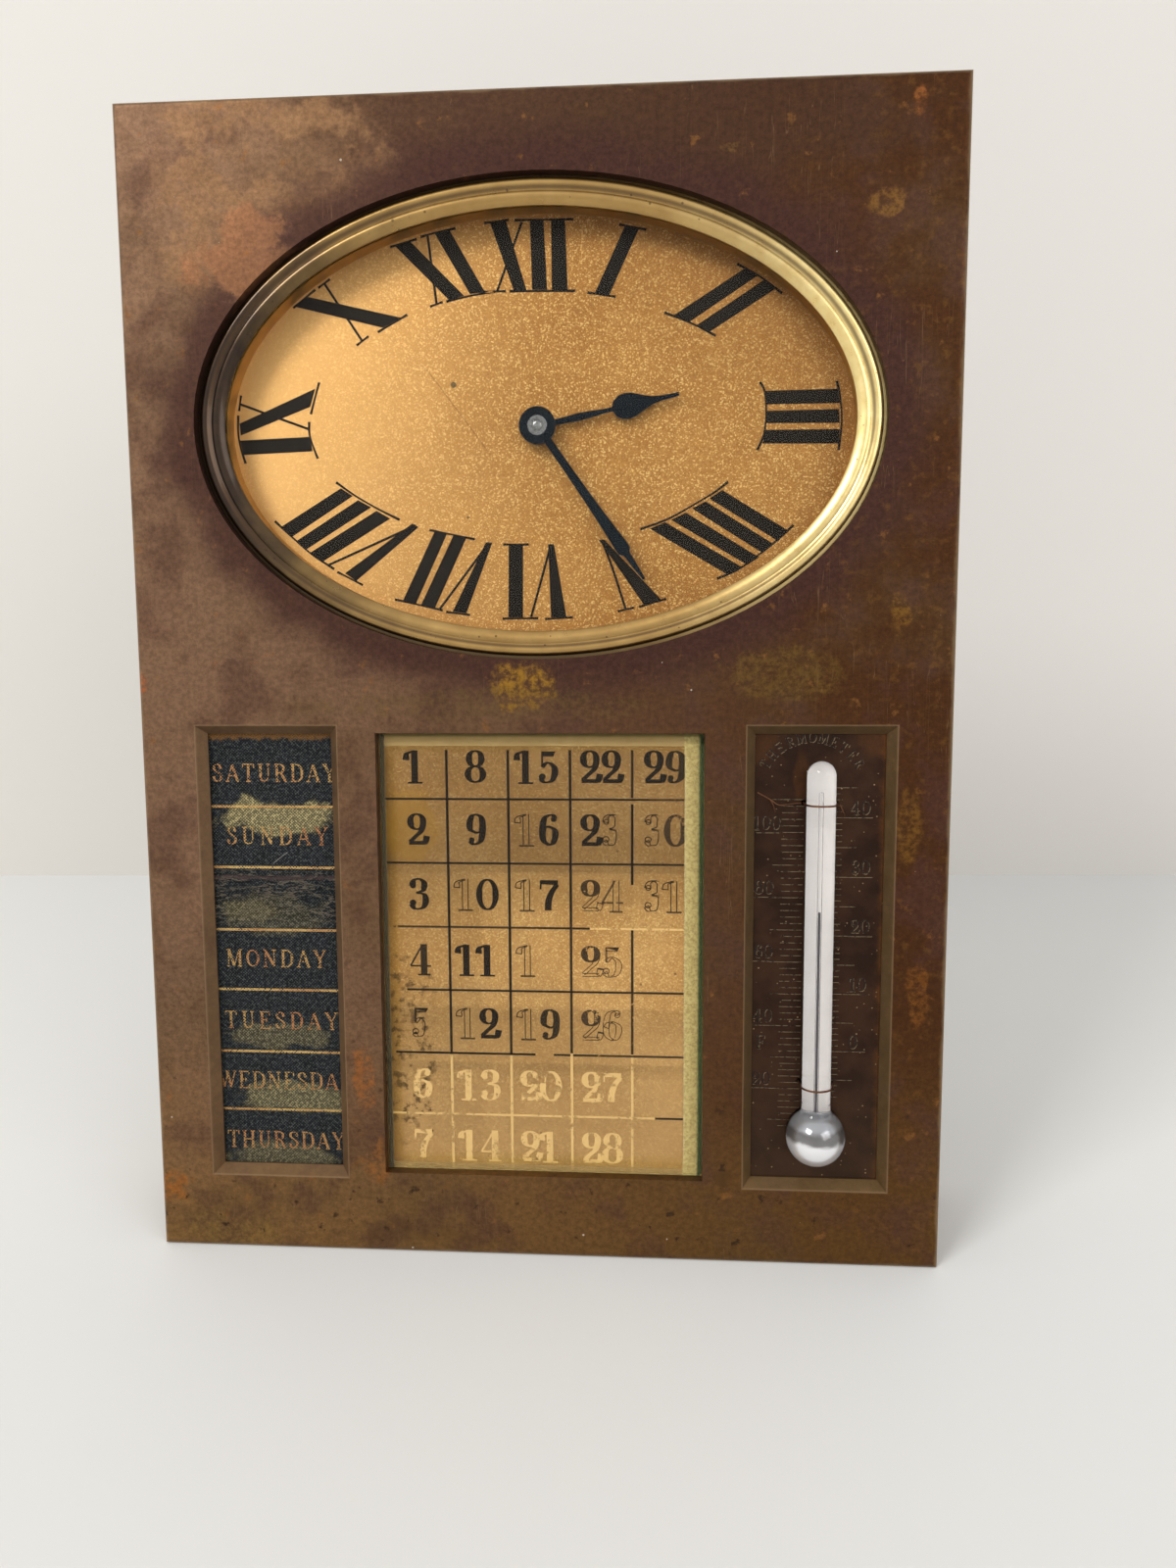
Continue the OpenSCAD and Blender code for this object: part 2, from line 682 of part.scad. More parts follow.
module roller_frame() {
    z0 = roller_low_z - roller_r;
    z1 = roller_high_z + roller_r + belt_t;
    web_d1 = web_d + frame_t;
    ear = axle_r + 1.4;
    color("#a98645") leaned() difference() {
        union() {
            block(cheek_x0, cheek_x0 + frame_t, face_t, web_d1, z0, z1);
            block(cheek_x1 - frame_t, cheek_x1, face_t, web_d1, z0, z1);
            block(cheek_x0, cheek_x1, web_d, web_d1, z0, z1);
            block(cheek_x0, cheek_x0 + frame_t, web_d, thumb_d, roller_high_z - ear, roller_high_z + ear);
            axle(cheek_x0, cheek_x0 + frame_t, thumb_d, roller_high_z, ear);
            axle(cheek_x0, pinion_x1 + 0.4, thumb_d, roller_high_z, axle_r);
        }
        for (z = [roller_low_z, roller_high_z])
            axle(cheek_x0 - through, cheek_x1 + through, roller_d, z, axle_r + run_gap);
        block(cheek_x0 + frame_t, pinion_x1 + free_gap + 0.5, web_d - through, web_d1 + through,
              roller_high_z - thumb_out_r - 0.5, z1 + through);
    }
    color("#a98645") leaned() axle(cheek_x0 + frame_t / 2, pinion_x1 + 0.4, thumb_d, roller_high_z, axle_r);
}

// ---- dates ----

module date_pane() {
    x0 = date_x0 + pane_gap;
    x1 = date_x1 - pane_gap;
    z0 = date_z + pane_gap;
    z1 = date_z + date_h - pane_gap;
    color("#d5e6da", 0.35) leaned() {
        block(x0, x1, pane_d + pane_bevel_t, card_d, z0, z1);
        intersection() {
            translate([0, 0, z0]) linear_extrude(z1 - z0)
                polygon([[x0 + pane_bevel, pane_d], [x1 - pane_bevel, pane_d],
                         [x1, pane_d + pane_bevel_t], [x0, pane_d + pane_bevel_t]]);
            across(x0, x1)
                polygon([[pane_d, z0 + pane_bevel], [pane_d + pane_bevel_t, z0],
                         [pane_d + pane_bevel_t, z1], [pane_d, z1 - pane_bevel]]);
        }
    }
}

module date_card() {
    g = 0.2;
    color("#b08a45") leaned()
        block(date_x0 - g, date_x1 + g, card_d, tray_d, date_z - g, date_z + date_h + g);
}

module date_tray() {
    x0 = date_x0;
    x1 = date_x1;
    z1 = date_z + date_h;
    g = 0.2 + slim;
    color("#8a6a3c") leaned() difference() {
        block(x0 - tray_lap, x1 + tray_lap, face_t, tray_d + tray_t, date_z - tray_lap, z1 + tray_lap);
        block(x0 - g, x1 + g, face_t - through, tray_d, date_z - g, z1 + g);
    }
}

// ---- thermometer ----

module scale_plate() {
    color("#4a3626") leaned() difference() {
        block(thermo_x - window_w / 2 - scale_lap, thermo_x + window_w / 2 + scale_lap,
              scale_d, scale_d + scale_t, window_z - scale_lap, window_z + window_h + scale_lap);
        rod([thermo_x, bulb_z], scale_d - through, scale_d + scale_t + through, bulb_hole_r);
        for (z = [tie_low_z, tie_high_z], s = [-1, 1])
            rod([thermo_x + s * (tube_r + wire_r), z], scale_d - through, scale_d + scale_t + through,
                3 * wire_r);
    }
}

// Outer outline of the tube and its bulb, turned about the tube's axis
module tube_shape(shrink) {
    translate([thermo_x, tube_d, bulb_z]) {
        sphere(bulb_r - shrink, $fn = 64);
        cylinder(r = tube_r - shrink, h = tube_top_z - bulb_z - tube_r);
        translate([0, 0, tube_top_z - bulb_z - tube_r]) sphere(tube_r - shrink);
        translate([0, 0, neck_z])
            cylinder(r1 = neck_r - shrink, r2 = tube_r - shrink, h = bulb_hole_r - neck_z - 0.05);
    }
}

module thermometer_tube() {
    color("#eef0ec", 0.8) leaned() difference() {
        tube_shape(0);
        translate([thermo_x, tube_d, bulb_z]) {
            sphere(bulb_r - 0.4, $fn = 64);
            cylinder(r = mercury_r + slim, h = tube_top_z - bulb_z - 2 * tube_r);
        }
    }
}

module mercury() {
    color("#9aa0a6") leaned() translate([thermo_x, tube_d, bulb_z]) {
        sphere(bulb_r - 0.4 - slim, $fn = 64);
        cylinder(r = mercury_r, h = mercury_len);
    }
}

// Two wire ties: a half ring over the tube and two legs through the scale plate
module tube_wires() {
    ring_r = tube_r + wire_r + slim;
    color("#a5552f") leaned() for (z = [tie_low_z, tie_high_z]) translate([thermo_x, tube_d, z]) {
        rotate([0, 0, 180]) rotate_extrude(angle = 180) translate([ring_r, 0]) circle(wire_r, $fn = 16);
        for (s = [-1, 1]) translate([s * ring_r, 0, 0]) rotate([-90, 0, 0])
            cylinder(r = wire_r, h = scale_d + scale_t + 0.4 - tube_d, $fn = 16);
    }
}

// ---- strut ----

module hinge_bracket() {
    half = knuckle_half + 0.3 + outer_knuckle;
    color("#8a6a3c") leaned() difference() {
        union() {
            block(-half, half, case_d, case_d + hinge_plate_t, hinge_z - 6, hinge_z + heel + 2.6);
            for (s = [-1, 1]) {
                x0 = s > 0 ? half - outer_knuckle : -half;
                axle(x0, x0 + outer_knuckle, hinge_d, hinge_z, knuckle_r);
                block(x0, x0 + outer_knuckle, case_d, hinge_d, hinge_z - knuckle_r, hinge_z + knuckle_r);
            }
        }
        axle(-half - through, half + through, hinge_d, hinge_z, hinge_pin_r + slim);
    }
}

module hinge_pin() {
    half = knuckle_half + 0.3 + outer_knuckle;
    color("#c9a55a") leaned() {
        axle(-half - 0.3, half + 0.3, hinge_d, hinge_z, hinge_pin_r);
        for (s = [-1, 1])
            axle(s * (half + 0.6) - 0.5, s * (half + 0.6) + 0.5, hinge_d, hinge_z, 1.6 * hinge_pin_r);
    }
}

// The strut hangs from its pin; drawn straight down and then swung open
module strut() {
    low = -strut_len - 6;
    slope = (strut_w - shoulder_w) / 2 / (strut_len - 12);
    half_low = strut_w / 2 + 6 * slope;
    color("#8a6a3c") difference() {
        leaned() translate([0, hinge_d, hinge_z]) rotate([strut_angle, 0, 0]) difference() {
            union() {
                slab(-strut_t / 2, strut_t / 2) difference() {
                    polygon([[-knuckle_half, heel], [knuckle_half, heel], [knuckle_half, -5],
                             [shoulder_w / 2, -12], [half_low, low], [-half_low, low],
                             [-shoulder_w / 2, -12], [-knuckle_half, -5]]);
                    translate([0, -strut_len + 16]) circle(5);
                }
                for (s = [-1, 1]) slab(strut_t / 2 - slim, strut_t / 2 + 1.6)
                    polygon([[s * shoulder_w / 2, -12], [s * half_low, low],
                             [s * (half_low - 1.2), low], [s * (shoulder_w / 2 - 1.2), -12]]);
                axle(-knuckle_half, knuckle_half, 0, 0, knuckle_r);
            }
            axle(-knuckle_half - through, knuckle_half + through, 0, 0, hinge_pin_r + run_gap);
        }
        below_floor(2 * case_h);
    }
}

// ---- movement ----

// Straps from post to post, in front of the movement's front plate
module movement_straps() {
    color("#b39045") leaned() for (j = [-1, 1]) difference() {
        slab(plate1_d0 - strap_t, plate1_d0, [0, dial_z + j * post_at[1]]) union() {
            square([2 * post_at[0], strap_w], center = true);
            for (i = [-1, 1]) translate([i * post_at[0], 0]) circle(post_r);
        }
        for (i = [-1, 1]) rod([i * post_at[0], dial_z + j * post_at[1]], plate1_d0 - strap_t - through,
                              plate1_d0 + through, screw_r + run_gap);
    }
}

module strap_screws() {
    color("#c9a55a") leaned() for (p = POSTS) screw(p, plate1_d0, plate1_d0 + 1, plate1_d0 - strap_t - 4);
}

// Pivot holes common to both plates
module pivot_holes(d0, d1) {
    for (p = [third_at, fourth_at, escape_at, lever_at, balance_at]) rod(p, d0, d1, pivot_r + run_gap);
    rod(barrel_at, d0, d1, barrel_pivot_r + run_gap);
    rod(centre_at, d0, d1, arbor_r + run_gap);
}

module movement_front_plate() {
    color("#c2a04f") leaned() at_dial() {
        difference() {
            slab(plate1_d0, plate1_d1) circle(mplate_r, $fn = 96);
            pivot_holes(plate1_d0 - through, plate1_d1 + through);
            for (a = foot_turns)
                rod(turned(foot_reach, a), plate1_d0 - through, plate1_d1 + through, foot_r + run_gap);
        }
        rod(minute_at, motion_layer(1), plate1_d0 + slim, thin_r);
        rod(barrel_at + turned(click_reach, click_turn), motion_layer(0), plate1_d0 + slim, thin_r);
    }
}

module movement_back_plate() {
    color("#c2a04f") leaned() at_dial() difference() {
        slab(plate2_d0, plate2_d1) circle(mplate_r, $fn = 96);
        pivot_holes(plate2_d0 - through, plate2_d1 + through);
    }
}

module pillars() {
    color("#c2a04f") leaned() at_dial() for (a = pillar_turns) {
        p = turned(pillar_reach, a);
        rod(p, plate1_d1, plate2_d0, pillar_r);
        rod(p, plate1_d1, plate1_d1 + wheel_t, pillar_r + 0.5);
        rod(p, plate2_d0 - wheel_t, plate2_d0, pillar_r + 0.5);
    }
}

// The drum with the great wheel at its back; its front end is open for the cover
module barrel() {
    color("#c2a04f") leaned() at_dial() difference() {
        union() {
            slab(train_layer(4), train_layer(4) + wheel_t, barrel_at)
                gear(barrel_teeth, great_m, tooth_to(barrel_at, centre_at));
            rod(barrel_at, train_layer(1), train_layer(4) + wheel_t / 2, drum_r);
        }
        rod(barrel_at, train_layer(1) - through, train_layer(4), drum_r - 0.6);
        rod(barrel_at, train_layer(4) - through, train_layer(5), barrel_pivot_r + run_gap);
    }
}

module barrel_cover() {
    color("#c2a04f") leaned() at_dial() difference() {
        rod(barrel_at, train_layer(1), train_layer(1) + 0.5, drum_r - 0.6 - slim);
        rod(barrel_at, train_layer(0), train_layer(2), barrel_pivot_r + run_gap);
    }
}

module mainspring() {
    color("#56606e") leaned() at_dial()
        slab(train_layer(1) + 0.7, train_layer(4) - 0.2, barrel_at)
            spiral(2.6, drum_r - 0.6 - spring_t - 0.1, 8, spring_t);
}

module barrel_arbor() {
    s = winding_square / 2;
    color("#9a9ea3") leaned() at_dial() translate([barrel_at[0], 0, barrel_at[1]]) {
        rod([0, 0], motion_layer(0) - 0.2, case_d + 0.3, barrel_pivot_r);
        rod([0, 0], train_layer(1) + 0.6, train_layer(4) - 0.1, 2.3);
        block(-s, s, case_d, case_d + 4.5, -s, s);
    }
}

// Winding ratchet on the front end of the barrel arbor, its teeth steep on one side
module ratchet_wheel() {
    step = 360 / ratchet_teeth;
    color("#9a9ea3") leaned() at_dial() difference() {
        slab(motion_layer(0), motion_layer(0) + wheel_t, barrel_at)
            polygon([for (i = [0:ratchet_teeth - 1]) for (p = [[ratchet_r - 0.8, 0.1], [ratchet_r, 0]])
                turned(p[0], click_turn + (i + p[1]) * step)]);
        rod(barrel_at, motion_layer(0) - through, plate1_d0, barrel_pivot_r + slim);
    }
}

// The click turns on its stud and drops its beak behind a ratchet tooth
module click() {
    stud = turned(click_reach, click_turn);
    nose = turned(ratchet_r + 1.2, click_turn - 28);
    shank = turned(0.8, bearing(stud, nose) + 90);
    color("#9a9ea3") leaned() at_dial() difference() {
        slab(motion_layer(0), motion_layer(0) + wheel_t, barrel_at) union() {
            translate(stud) circle(1.4);
            polygon([stud - shank, turned(ratchet_r + 0.7, click_turn - 24),
                     turned(ratchet_r + 0.12, click_turn - 34), turned(ratchet_r + 1.4, click_turn - 36),
                     nose + shank, stud + shank]);
        }
        rod(barrel_at + stud, motion_layer(0) - through, plate1_d0, thin_r + run_gap);
    }
}

// A wire-thin blade that presses on the click's back
module click_spring() {
    root = turned(click_reach + 3.4, click_turn + 26);
    color("#56606e") leaned() at_dial() slab(motion_layer(0), plate1_d0, barrel_at) union() {
        translate(root) circle(0.8);
        bar(root, turned(click_reach + 1.9, click_turn - 14), 0.3);
    }
}

module winding_key() {
    s = winding_square / 2 + slim;
    top = case_d + 9.5;
    color("#b98d3e") leaned() translate([barrel_at[0], 0, dial_z + barrel_at[1]]) difference() {
        union() {
            rod([0, 0], case_d + 0.5, top, 2.2);
            for (i = [-1, 1]) difference() {
                translate([i * wing_r * 0.92, top, -0.7]) cylinder(r = wing_r, h = 1.4);
                translate([i * wing_r * 1.05, top, -0.7 - through])
                    cylinder(r = wing_r * 0.5, h = 1.4 + 2 * through);
            }
        }
        block(-s, s, case_d, case_d + 4.7, -s, s);
    }
}

module setting_knob() {
    color("#b98d3e") leaned() at_dial() difference() {
        union() {
            slab(case_d + 1.6, case_d + 4.2) gear(30, knob_r / 15.8);
            rod([0, 0], case_d + 0.6, case_d + 4.8, 0.72 * knob_r);
        }
        rod([0, 0], case_d, case_d + 3.6, arbor_r + slim);
    }
}

module centre_arbor() {
    color("#c9ccd0") leaned() at_dial() {
        rod([0, 0], minute_d + 0.1, case_d + 3.5, arbor_r);
    }
}

// Centre wheel and pinion on one sleeve that grips the arbor
module centre_wheel() {
    color("#c2a04f") leaned() at_dial() difference() {
        union() {
            slab(train_layer(0), train_layer(0) + wheel_t)
                crossed_wheel(centre_teeth, centre_m, tooth_to(centre_at, third_at), sleeve_r + 1);
            rod(centre_at, plate1_d1 + 0.1, plate2_d0 - 0.1, sleeve_r);
            pinion(centre_at, centre_leaves, great_m, gap_to(centre_at, barrel_at, centre_leaves), 4);
        }
        rod(centre_at, plate1_d1 - through, plate2_d0 + through, arbor_r + run_gap);
    }
}

module cannon_pinion() {
    color("#9a9ea3") leaned() at_dial() difference() {
        union() {
            slab(motion_layer(0), motion_layer(0) + wheel_t)
                gear(cannon_leaves, motion_m, gap_to(centre_at, minute_at, cannon_leaves));
            rod(centre_at, minute_d, motion_layer(0) + slim, cannon_r);
        }
        rod(centre_at, minute_d - through, plate1_d0, arbor_r + slim);
    }
}

module minute_wheel() {
    color("#c2a04f") leaned() at_dial() difference() {
        union() {
            slab(motion_layer(0), motion_layer(0) + wheel_t, minute_at)
                crossed_wheel(minute_teeth, motion_m, tooth_to(minute_at, centre_at), 2.4);
            slab(motion_layer(1), motion_layer(0) + slim, minute_at)
                gear(minute_leaves, hour_m, gap_to(minute_at, centre_at, minute_leaves));
        }
        rod(minute_at, motion_layer(1) - through, plate1_d0, thin_r + run_gap);
    }
}

module hour_wheel() {
    color("#c2a04f") leaned() at_dial() difference() {
        union() {
            slab(motion_layer(1), motion_layer(1) + wheel_t)
                crossed_wheel(hour_teeth, hour_m, tooth_to(centre_at, minute_at), hour_pipe_r + 0.8);
            rod(centre_at, hour_d, motion_layer(1) + slim, hour_pipe_r);
        }
        rod(centre_at, hour_d - through, motion_layer(0), cannon_r + run_gap);
    }
}

module third_wheel() {
    color("#c2a04f") leaned() at_dial() {
        slab(train_layer(1), train_layer(1) + wheel_t, third_at)
            crossed_wheel(third_teeth, third_m, tooth_to(third_at, fourth_at), 1.5);
        pinion(third_at, leaves, centre_m, gap_to(third_at, centre_at, leaves), 0);
        thin_arbor(third_at);
    }
}

module fourth_wheel() {
    color("#c2a04f") leaned() at_dial() {
        slab(train_layer(2), train_layer(2) + wheel_t, fourth_at)
            crossed_wheel(fourth_teeth, fourth_m, tooth_to(fourth_at, escape_at), 1.5);
        pinion(fourth_at, leaves, third_m, gap_to(fourth_at, third_at, leaves), 1);
        thin_arbor(fourth_at);
    }
}

module escape_wheel() {
    step = 360 / escape_teeth;
    color("#c2a04f") leaned() at_dial() {
        slab(train_layer(3), train_layer(3) + wheel_t, escape_at)
            polygon([for (i = [0:escape_teeth - 1])
                for (p = [[escape_r - 1.1, 0.18], [escape_r - 1.1, 0.72],
                          [escape_r, 0.98], [escape_r, 1.05]])
                    turned(p[0], bearing(escape_at, lever_at) + (i + p[1]) * step)]);
        pinion(escape_at, escape_leaves, fourth_m, gap_to(escape_at, fourth_at, escape_leaves), 2);
        thin_arbor(escape_at, (escape_leaves / 2 - tooth_foot) * fourth_m - slim);
    }
}

// Lever with two pallets over the escape wheel and a fork beside the balance
module lever() {
    line = bearing(lever_at, balance_at);
    fork_len = norm(balance_at - lever_at) - roller_table_r - free_gap;
    fork = lever_at + turned(fork_len - 1.2, line);
    color("#9a9ea3") leaned() at_dial() {
        slab(train_layer(3), train_layer(3) + wheel_t) union() {
            translate(lever_at) circle(1);
            bar(lever_at, fork, 0.8);
            for (s = [-1, 1]) {
                pallet = escape_at + turned(escape_r + pallet_gap, line + s * 31);
                outer = escape_at + turned(escape_r + pallet_gap + 1.1, line + s * 31);
                bar(pallet, outer, 0.7);
                bar(lever_at, outer, 0.8);
                bar(fork, fork + turned(1.2, line + s * 30), 0.5);
            }
        }
        thin_arbor(lever_at);
    }
}

module balance() {
    color("#c9a55a") leaned() at_dial() {
        slab(train_layer(1), train_layer(1) + wheel_t, balance_at) union() {
            difference() {
                circle(balance_r);
                circle(balance_r - 1);
            }
            bar([-balance_r + 0.5, 0], [balance_r - 0.5, 0], 1);
            circle(1.3);
        }
        rod(balance_at, train_layer(3), train_layer(3) + wheel_t, roller_table_r);
        rod(balance_at + turned(roller_table_r - 0.5, 73), train_layer(3) - 0.3, train_layer(3) + slim,
            0.25);
        thin_arbor(balance_at);
    }
}

module hairspring() {
    stud = balance_at + turned(4.4, 0);
    color("#3f5a86") leaned() at_dial() {
        slab(train_layer(2) + 0.1, train_layer(2) + wheel_t - 0.1, balance_at) union() {
            spiral(thin_r + free_gap, 4.1, 6, 0.14);
            bar([4.15, 0], [4.6, 0], 0.5);
        }
        rod(stud, train_layer(2), plate2_d0 - slim, 0.35);
    }
}

front_case();
oval_bezel();
dial_glass();
sight_ring();
dial();
hour_hand();
minute_hand();
day_belt();
upper_roller();
upper_axle();
lower_roller();
lower_axle();
roller_frame();
thumbwheel();
date_pane();
date_card();
date_tray();
scale_plate();
thermometer_tube();
mercury();
tube_wires();
rear_cover();
cover_screws();
hinge_bracket();
hinge_pin();
strut();
movement_straps();
strap_screws();
movement_front_plate();
movement_back_plate();
pillars();
barrel();
barrel_cover();
mainspring();
barrel_arbor();
ratchet_wheel();
click();
click_spring();
winding_key();
setting_knob();
centre_arbor();
centre_wheel();
cannon_pinion();
minute_wheel();
hour_wheel();
third_wheel();
fourth_wheel();
escape_wheel();
lever();
balance();
hairspring();
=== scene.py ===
"""Desk clock with a day belt, a date card and a thermometer: finishes, lettering and studio."""
import math
from collections import defaultdict

import bpy
from mathutils import Matrix, Vector, noise


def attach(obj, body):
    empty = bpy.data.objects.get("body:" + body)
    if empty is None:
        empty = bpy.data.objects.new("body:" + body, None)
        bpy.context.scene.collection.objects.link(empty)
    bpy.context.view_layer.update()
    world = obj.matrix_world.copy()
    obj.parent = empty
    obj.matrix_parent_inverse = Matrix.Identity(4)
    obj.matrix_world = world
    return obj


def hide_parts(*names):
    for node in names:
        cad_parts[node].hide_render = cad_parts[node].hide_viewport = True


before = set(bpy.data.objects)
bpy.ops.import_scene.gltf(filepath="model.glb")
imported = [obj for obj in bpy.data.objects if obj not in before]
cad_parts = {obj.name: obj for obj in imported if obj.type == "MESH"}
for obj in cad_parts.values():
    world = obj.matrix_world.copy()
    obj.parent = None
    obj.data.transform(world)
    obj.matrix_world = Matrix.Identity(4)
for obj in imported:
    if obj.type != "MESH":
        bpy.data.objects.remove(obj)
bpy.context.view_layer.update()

MM = 0.001

# The front leans back; everything flat on it is drawn upright in millimetres and then laid on the front.
# FOOT is how far forward its lower edge stands, DIAL_UP the middle of the dial, OVAL_HALF its opening.
LEAN = math.radians(10)
FOOT = 11.576
DIAL_UP = 134
OVAL_HALF = (53.1, 36.1)
CASE_HALF = 64
CASE_HIGH = 182
FACE = Matrix((
    (MM, 0, 0, 0),
    (0, MM * math.sin(LEAN), -MM * math.cos(LEAN), -MM * FOOT),
    (0, MM * math.cos(LEAN), MM * math.sin(LEAN), 0),
    (0, 0, 0, 1),
))
UPRIGHT = FACE.inverted()


# ---------------------------------------------------------------- material nodes
class Field:
    """A number, place or colour of a node tree that can be reckoned with like a plain number."""

    def __init__(self, tree, socket):
        self.tree = tree
        self.socket = socket

    def math(self, sign, other=0):
        return wired("Math", {0: self, 1: other}, operation=sign)

    def __add__(self, other):
        return self.math("ADD", other)

    def __sub__(self, other):
        return self.math("SUBTRACT", other)

    def __rsub__(self, other):
        return wired("Math", {0: other, 1: self}, operation="SUBTRACT")

    def __mul__(self, other):
        return self.math("MULTIPLY", other)

    def __truediv__(self, other):
        return self.math("DIVIDE", other)

    def __abs__(self):
        return self.math("ABSOLUTE")

    def least(self, other):
        return self.math("MINIMUM", other)

    def most(self, other):
        return self.math("MAXIMUM", other)


def tone(code):
    """A paint maker's hex code as linear colour."""
    parts = [int(code[i:i + 2], 16) / 255 for i in (0, 2, 4)]
    return tuple(c / 12.92 if c <= 0.04045 else ((c + 0.055) / 1.055) ** 2.4 for c in parts) + (1,)


def wired(kind, inputs, out=0, tree=None, **settings):
    """Adds a node, sets or links its inputs, and gives one of its outputs; a text is a colour code."""
    tree = next((value.tree for value in inputs.values() if isinstance(value, Field)), tree)
    made = tree.nodes.new("ShaderNode" + kind)
    for key, value in settings.items():
        setattr(made, key, value)
    for key, value in inputs.items():
        if isinstance(value, Field):
            tree.links.new(value.socket, made.inputs[key])
        else:
            made.inputs[key].default_value = tone(value) if isinstance(value, str) else value
    return Field(tree, made.outputs[out])


def split(value, kind="SeparateXYZ"):
    """The three parts of a place or a colour."""
    return [Field(value.tree, socket) for socket in wired(kind, {0: value}).socket.node.outputs]


def step(value, low, high, start=0, stop=1):
    """Eases from start to stop while the value runs from low to high."""
    return wired("MapRange", {0: value, 1: low, 2: high, 3: start, 4: stop}, interpolation_type="SMOOTHSTEP")


def mixed(first, second, share, way="MIX"):
    """The first colour with a share of the second laid over it."""
    return wired("Mix", {0: share, 6: first, 7: second}, 2, data_type="RGBA", blend_type=way)


def cloud(place, scale, detail=4, rough=0.55):
    return wired("TexNoise", {"Vector": place, "Scale": scale, "Detail": detail, "Roughness": rough})


def vector(sign, first, second=(0, 0, 0)):
    return wired("VectorMath", {0: first, 1: second}, 1 if sign == "LENGTH" else 0, operation=sign)


def mapped(place, **how):
    return wired("Mapping", {"Vector": place, **how})


def raised(value, depth, distance):
    """Turns a height into a bumped normal; depth is the strength, distance in metres."""
    return wired("Bump", {"Strength": depth, "Distance": distance, "Height": value})


PER_METRE = (1000, 1000, 1000)


def in_mm(tree):
    return mapped(wired("TexCoord", {}, "Object", tree), Scale=PER_METRE)


def on_front(tree):
    """Place on the front in millimetres: across from the middle, up the front, and out of it."""
    foot = (0, FOOT * math.sin(LEAN), -FOOT * math.cos(LEAN))
    lean = (LEAN - math.pi / 2, 0, 0)
    return mapped(wired("TexCoord", {}, "Object", tree), Location=foot, Rotation=lean, Scale=PER_METRE)


def on_cloth(tree):
    return mapped(wired("UVMap", {}, tree=tree, uv_map="cloth"), Scale=PER_METRE)


def fill_blotches(place, scale, level, softness):
    """Cloudy patches of tarnish: how much of the surface they take, and how soft their rims are."""
    return [step(cloud(place, scale, 7, 0.6), level - softness, level + softness)]


def fill_patch(place, centre, radii, ragged):
    """One worn place with a ragged rim, in an ellipse round its centre."""
    reach = vector("LENGTH", vector("DIVIDE", vector("SUBTRACT", place, centre), radii))
    torn = (cloud(place, 0.12, 6, 0.65) - 0.5) * ragged
    return [step(reach + torn, 0.72, 1.12, 1, 0)]


def scatter(place, scale):
    """Random cells: how far the middle of each is, and two numbers of its own."""
    far = wired("TexVoronoi", {"Vector": place, "Scale": scale})
    own = Field(place.tree, far.socket.node.outputs["Color"])
    return [far, *split(own, "SeparateColor")[:2]]


def fill_specks(place, scale, radius, share):
    """Dots of dust or dark pits, scattered one to a cell, only some cells filled."""
    far, size, some = scatter(place, scale)
    return [far.math("LESS_THAN", radius * size) * some.math("LESS_THAN", share)]


def fill_scratches(place, width):
    """Hairline scratches: thin crests of a noise drawn out along one direction."""
    drawn = mapped(place, Rotation=(0, 0, 0.6), Scale=(0.9, 0.035, 0.5))
    crest = abs(cloud(drawn, 1, 2, 0.4) - 0.5)
    return [step(crest, 0, width, 1, 0) * step(cloud(place, 0.05, 2), 0.5, 0.62)]


def fill_grain(place, scale):
    """Fine cast or blasted grain as a height."""
    return [cloud(place, scale * 0.22, 3, 0.5) * 0.6 + cloud(place, scale, 5, 0.7)]


def fill_weave(place):
    """Plain book-cloth weave: over and under threads as a height, and the glint of single threads."""
    thread = 0.5
    turn = 2 * math.pi / thread
    across, up, _ = split(place)
    drift = (cloud(place, 0.9, 3) - 0.5) * 1.5
    cross = (across * turn + drift).math("SINE") * (up * turn + drift).math("SINE")
    return [cross * 0.5 + 0.5, step(cross * 0.12 + cloud(place, 1.9, 3, 0.8), 0.52, 0.62)]


def fill_rim(place):
    """Wear along the outer edges of the case front, as a share from 0 inside to 1 at the edge."""
    across, up, out = split(place)
    near = (CASE_HALF - abs(across)).least(up.least(CASE_HIGH - up))
    uneven = (cloud(place, 0.15, 4) * 1.6).most(0.05)
    return [step(near, 0, uneven, 1, 0) * step(out, -2.2, -0.4)]


def fill_oval(place):
    """Distance in millimetres outside the oval opening of the dial, near enough along its whole rim."""
    away = vector("MULTIPLY", vector("SUBTRACT", place, (0, DIAL_UP, 0)), (1, 1, 0))
    scaled = vector("DIVIDE", away, (*OVAL_HALF, 1))
    radius = vector("LENGTH", scaled)
    slope = vector("LENGTH", vector("DIVIDE", scaled, (*OVAL_HALF, 1))) / radius.most(0.01)
    return [(radius - 1) / slope.most(0.001)]


def fill_window(place, middle, half):
    """Distance in millimetres outside an upright oblong window; below nought inside it."""
    side, end, _ = split(vector("SUBTRACT", vector("ABSOLUTE", vector("SUBTRACT", place, middle)), half))
    return [side.most(end)]


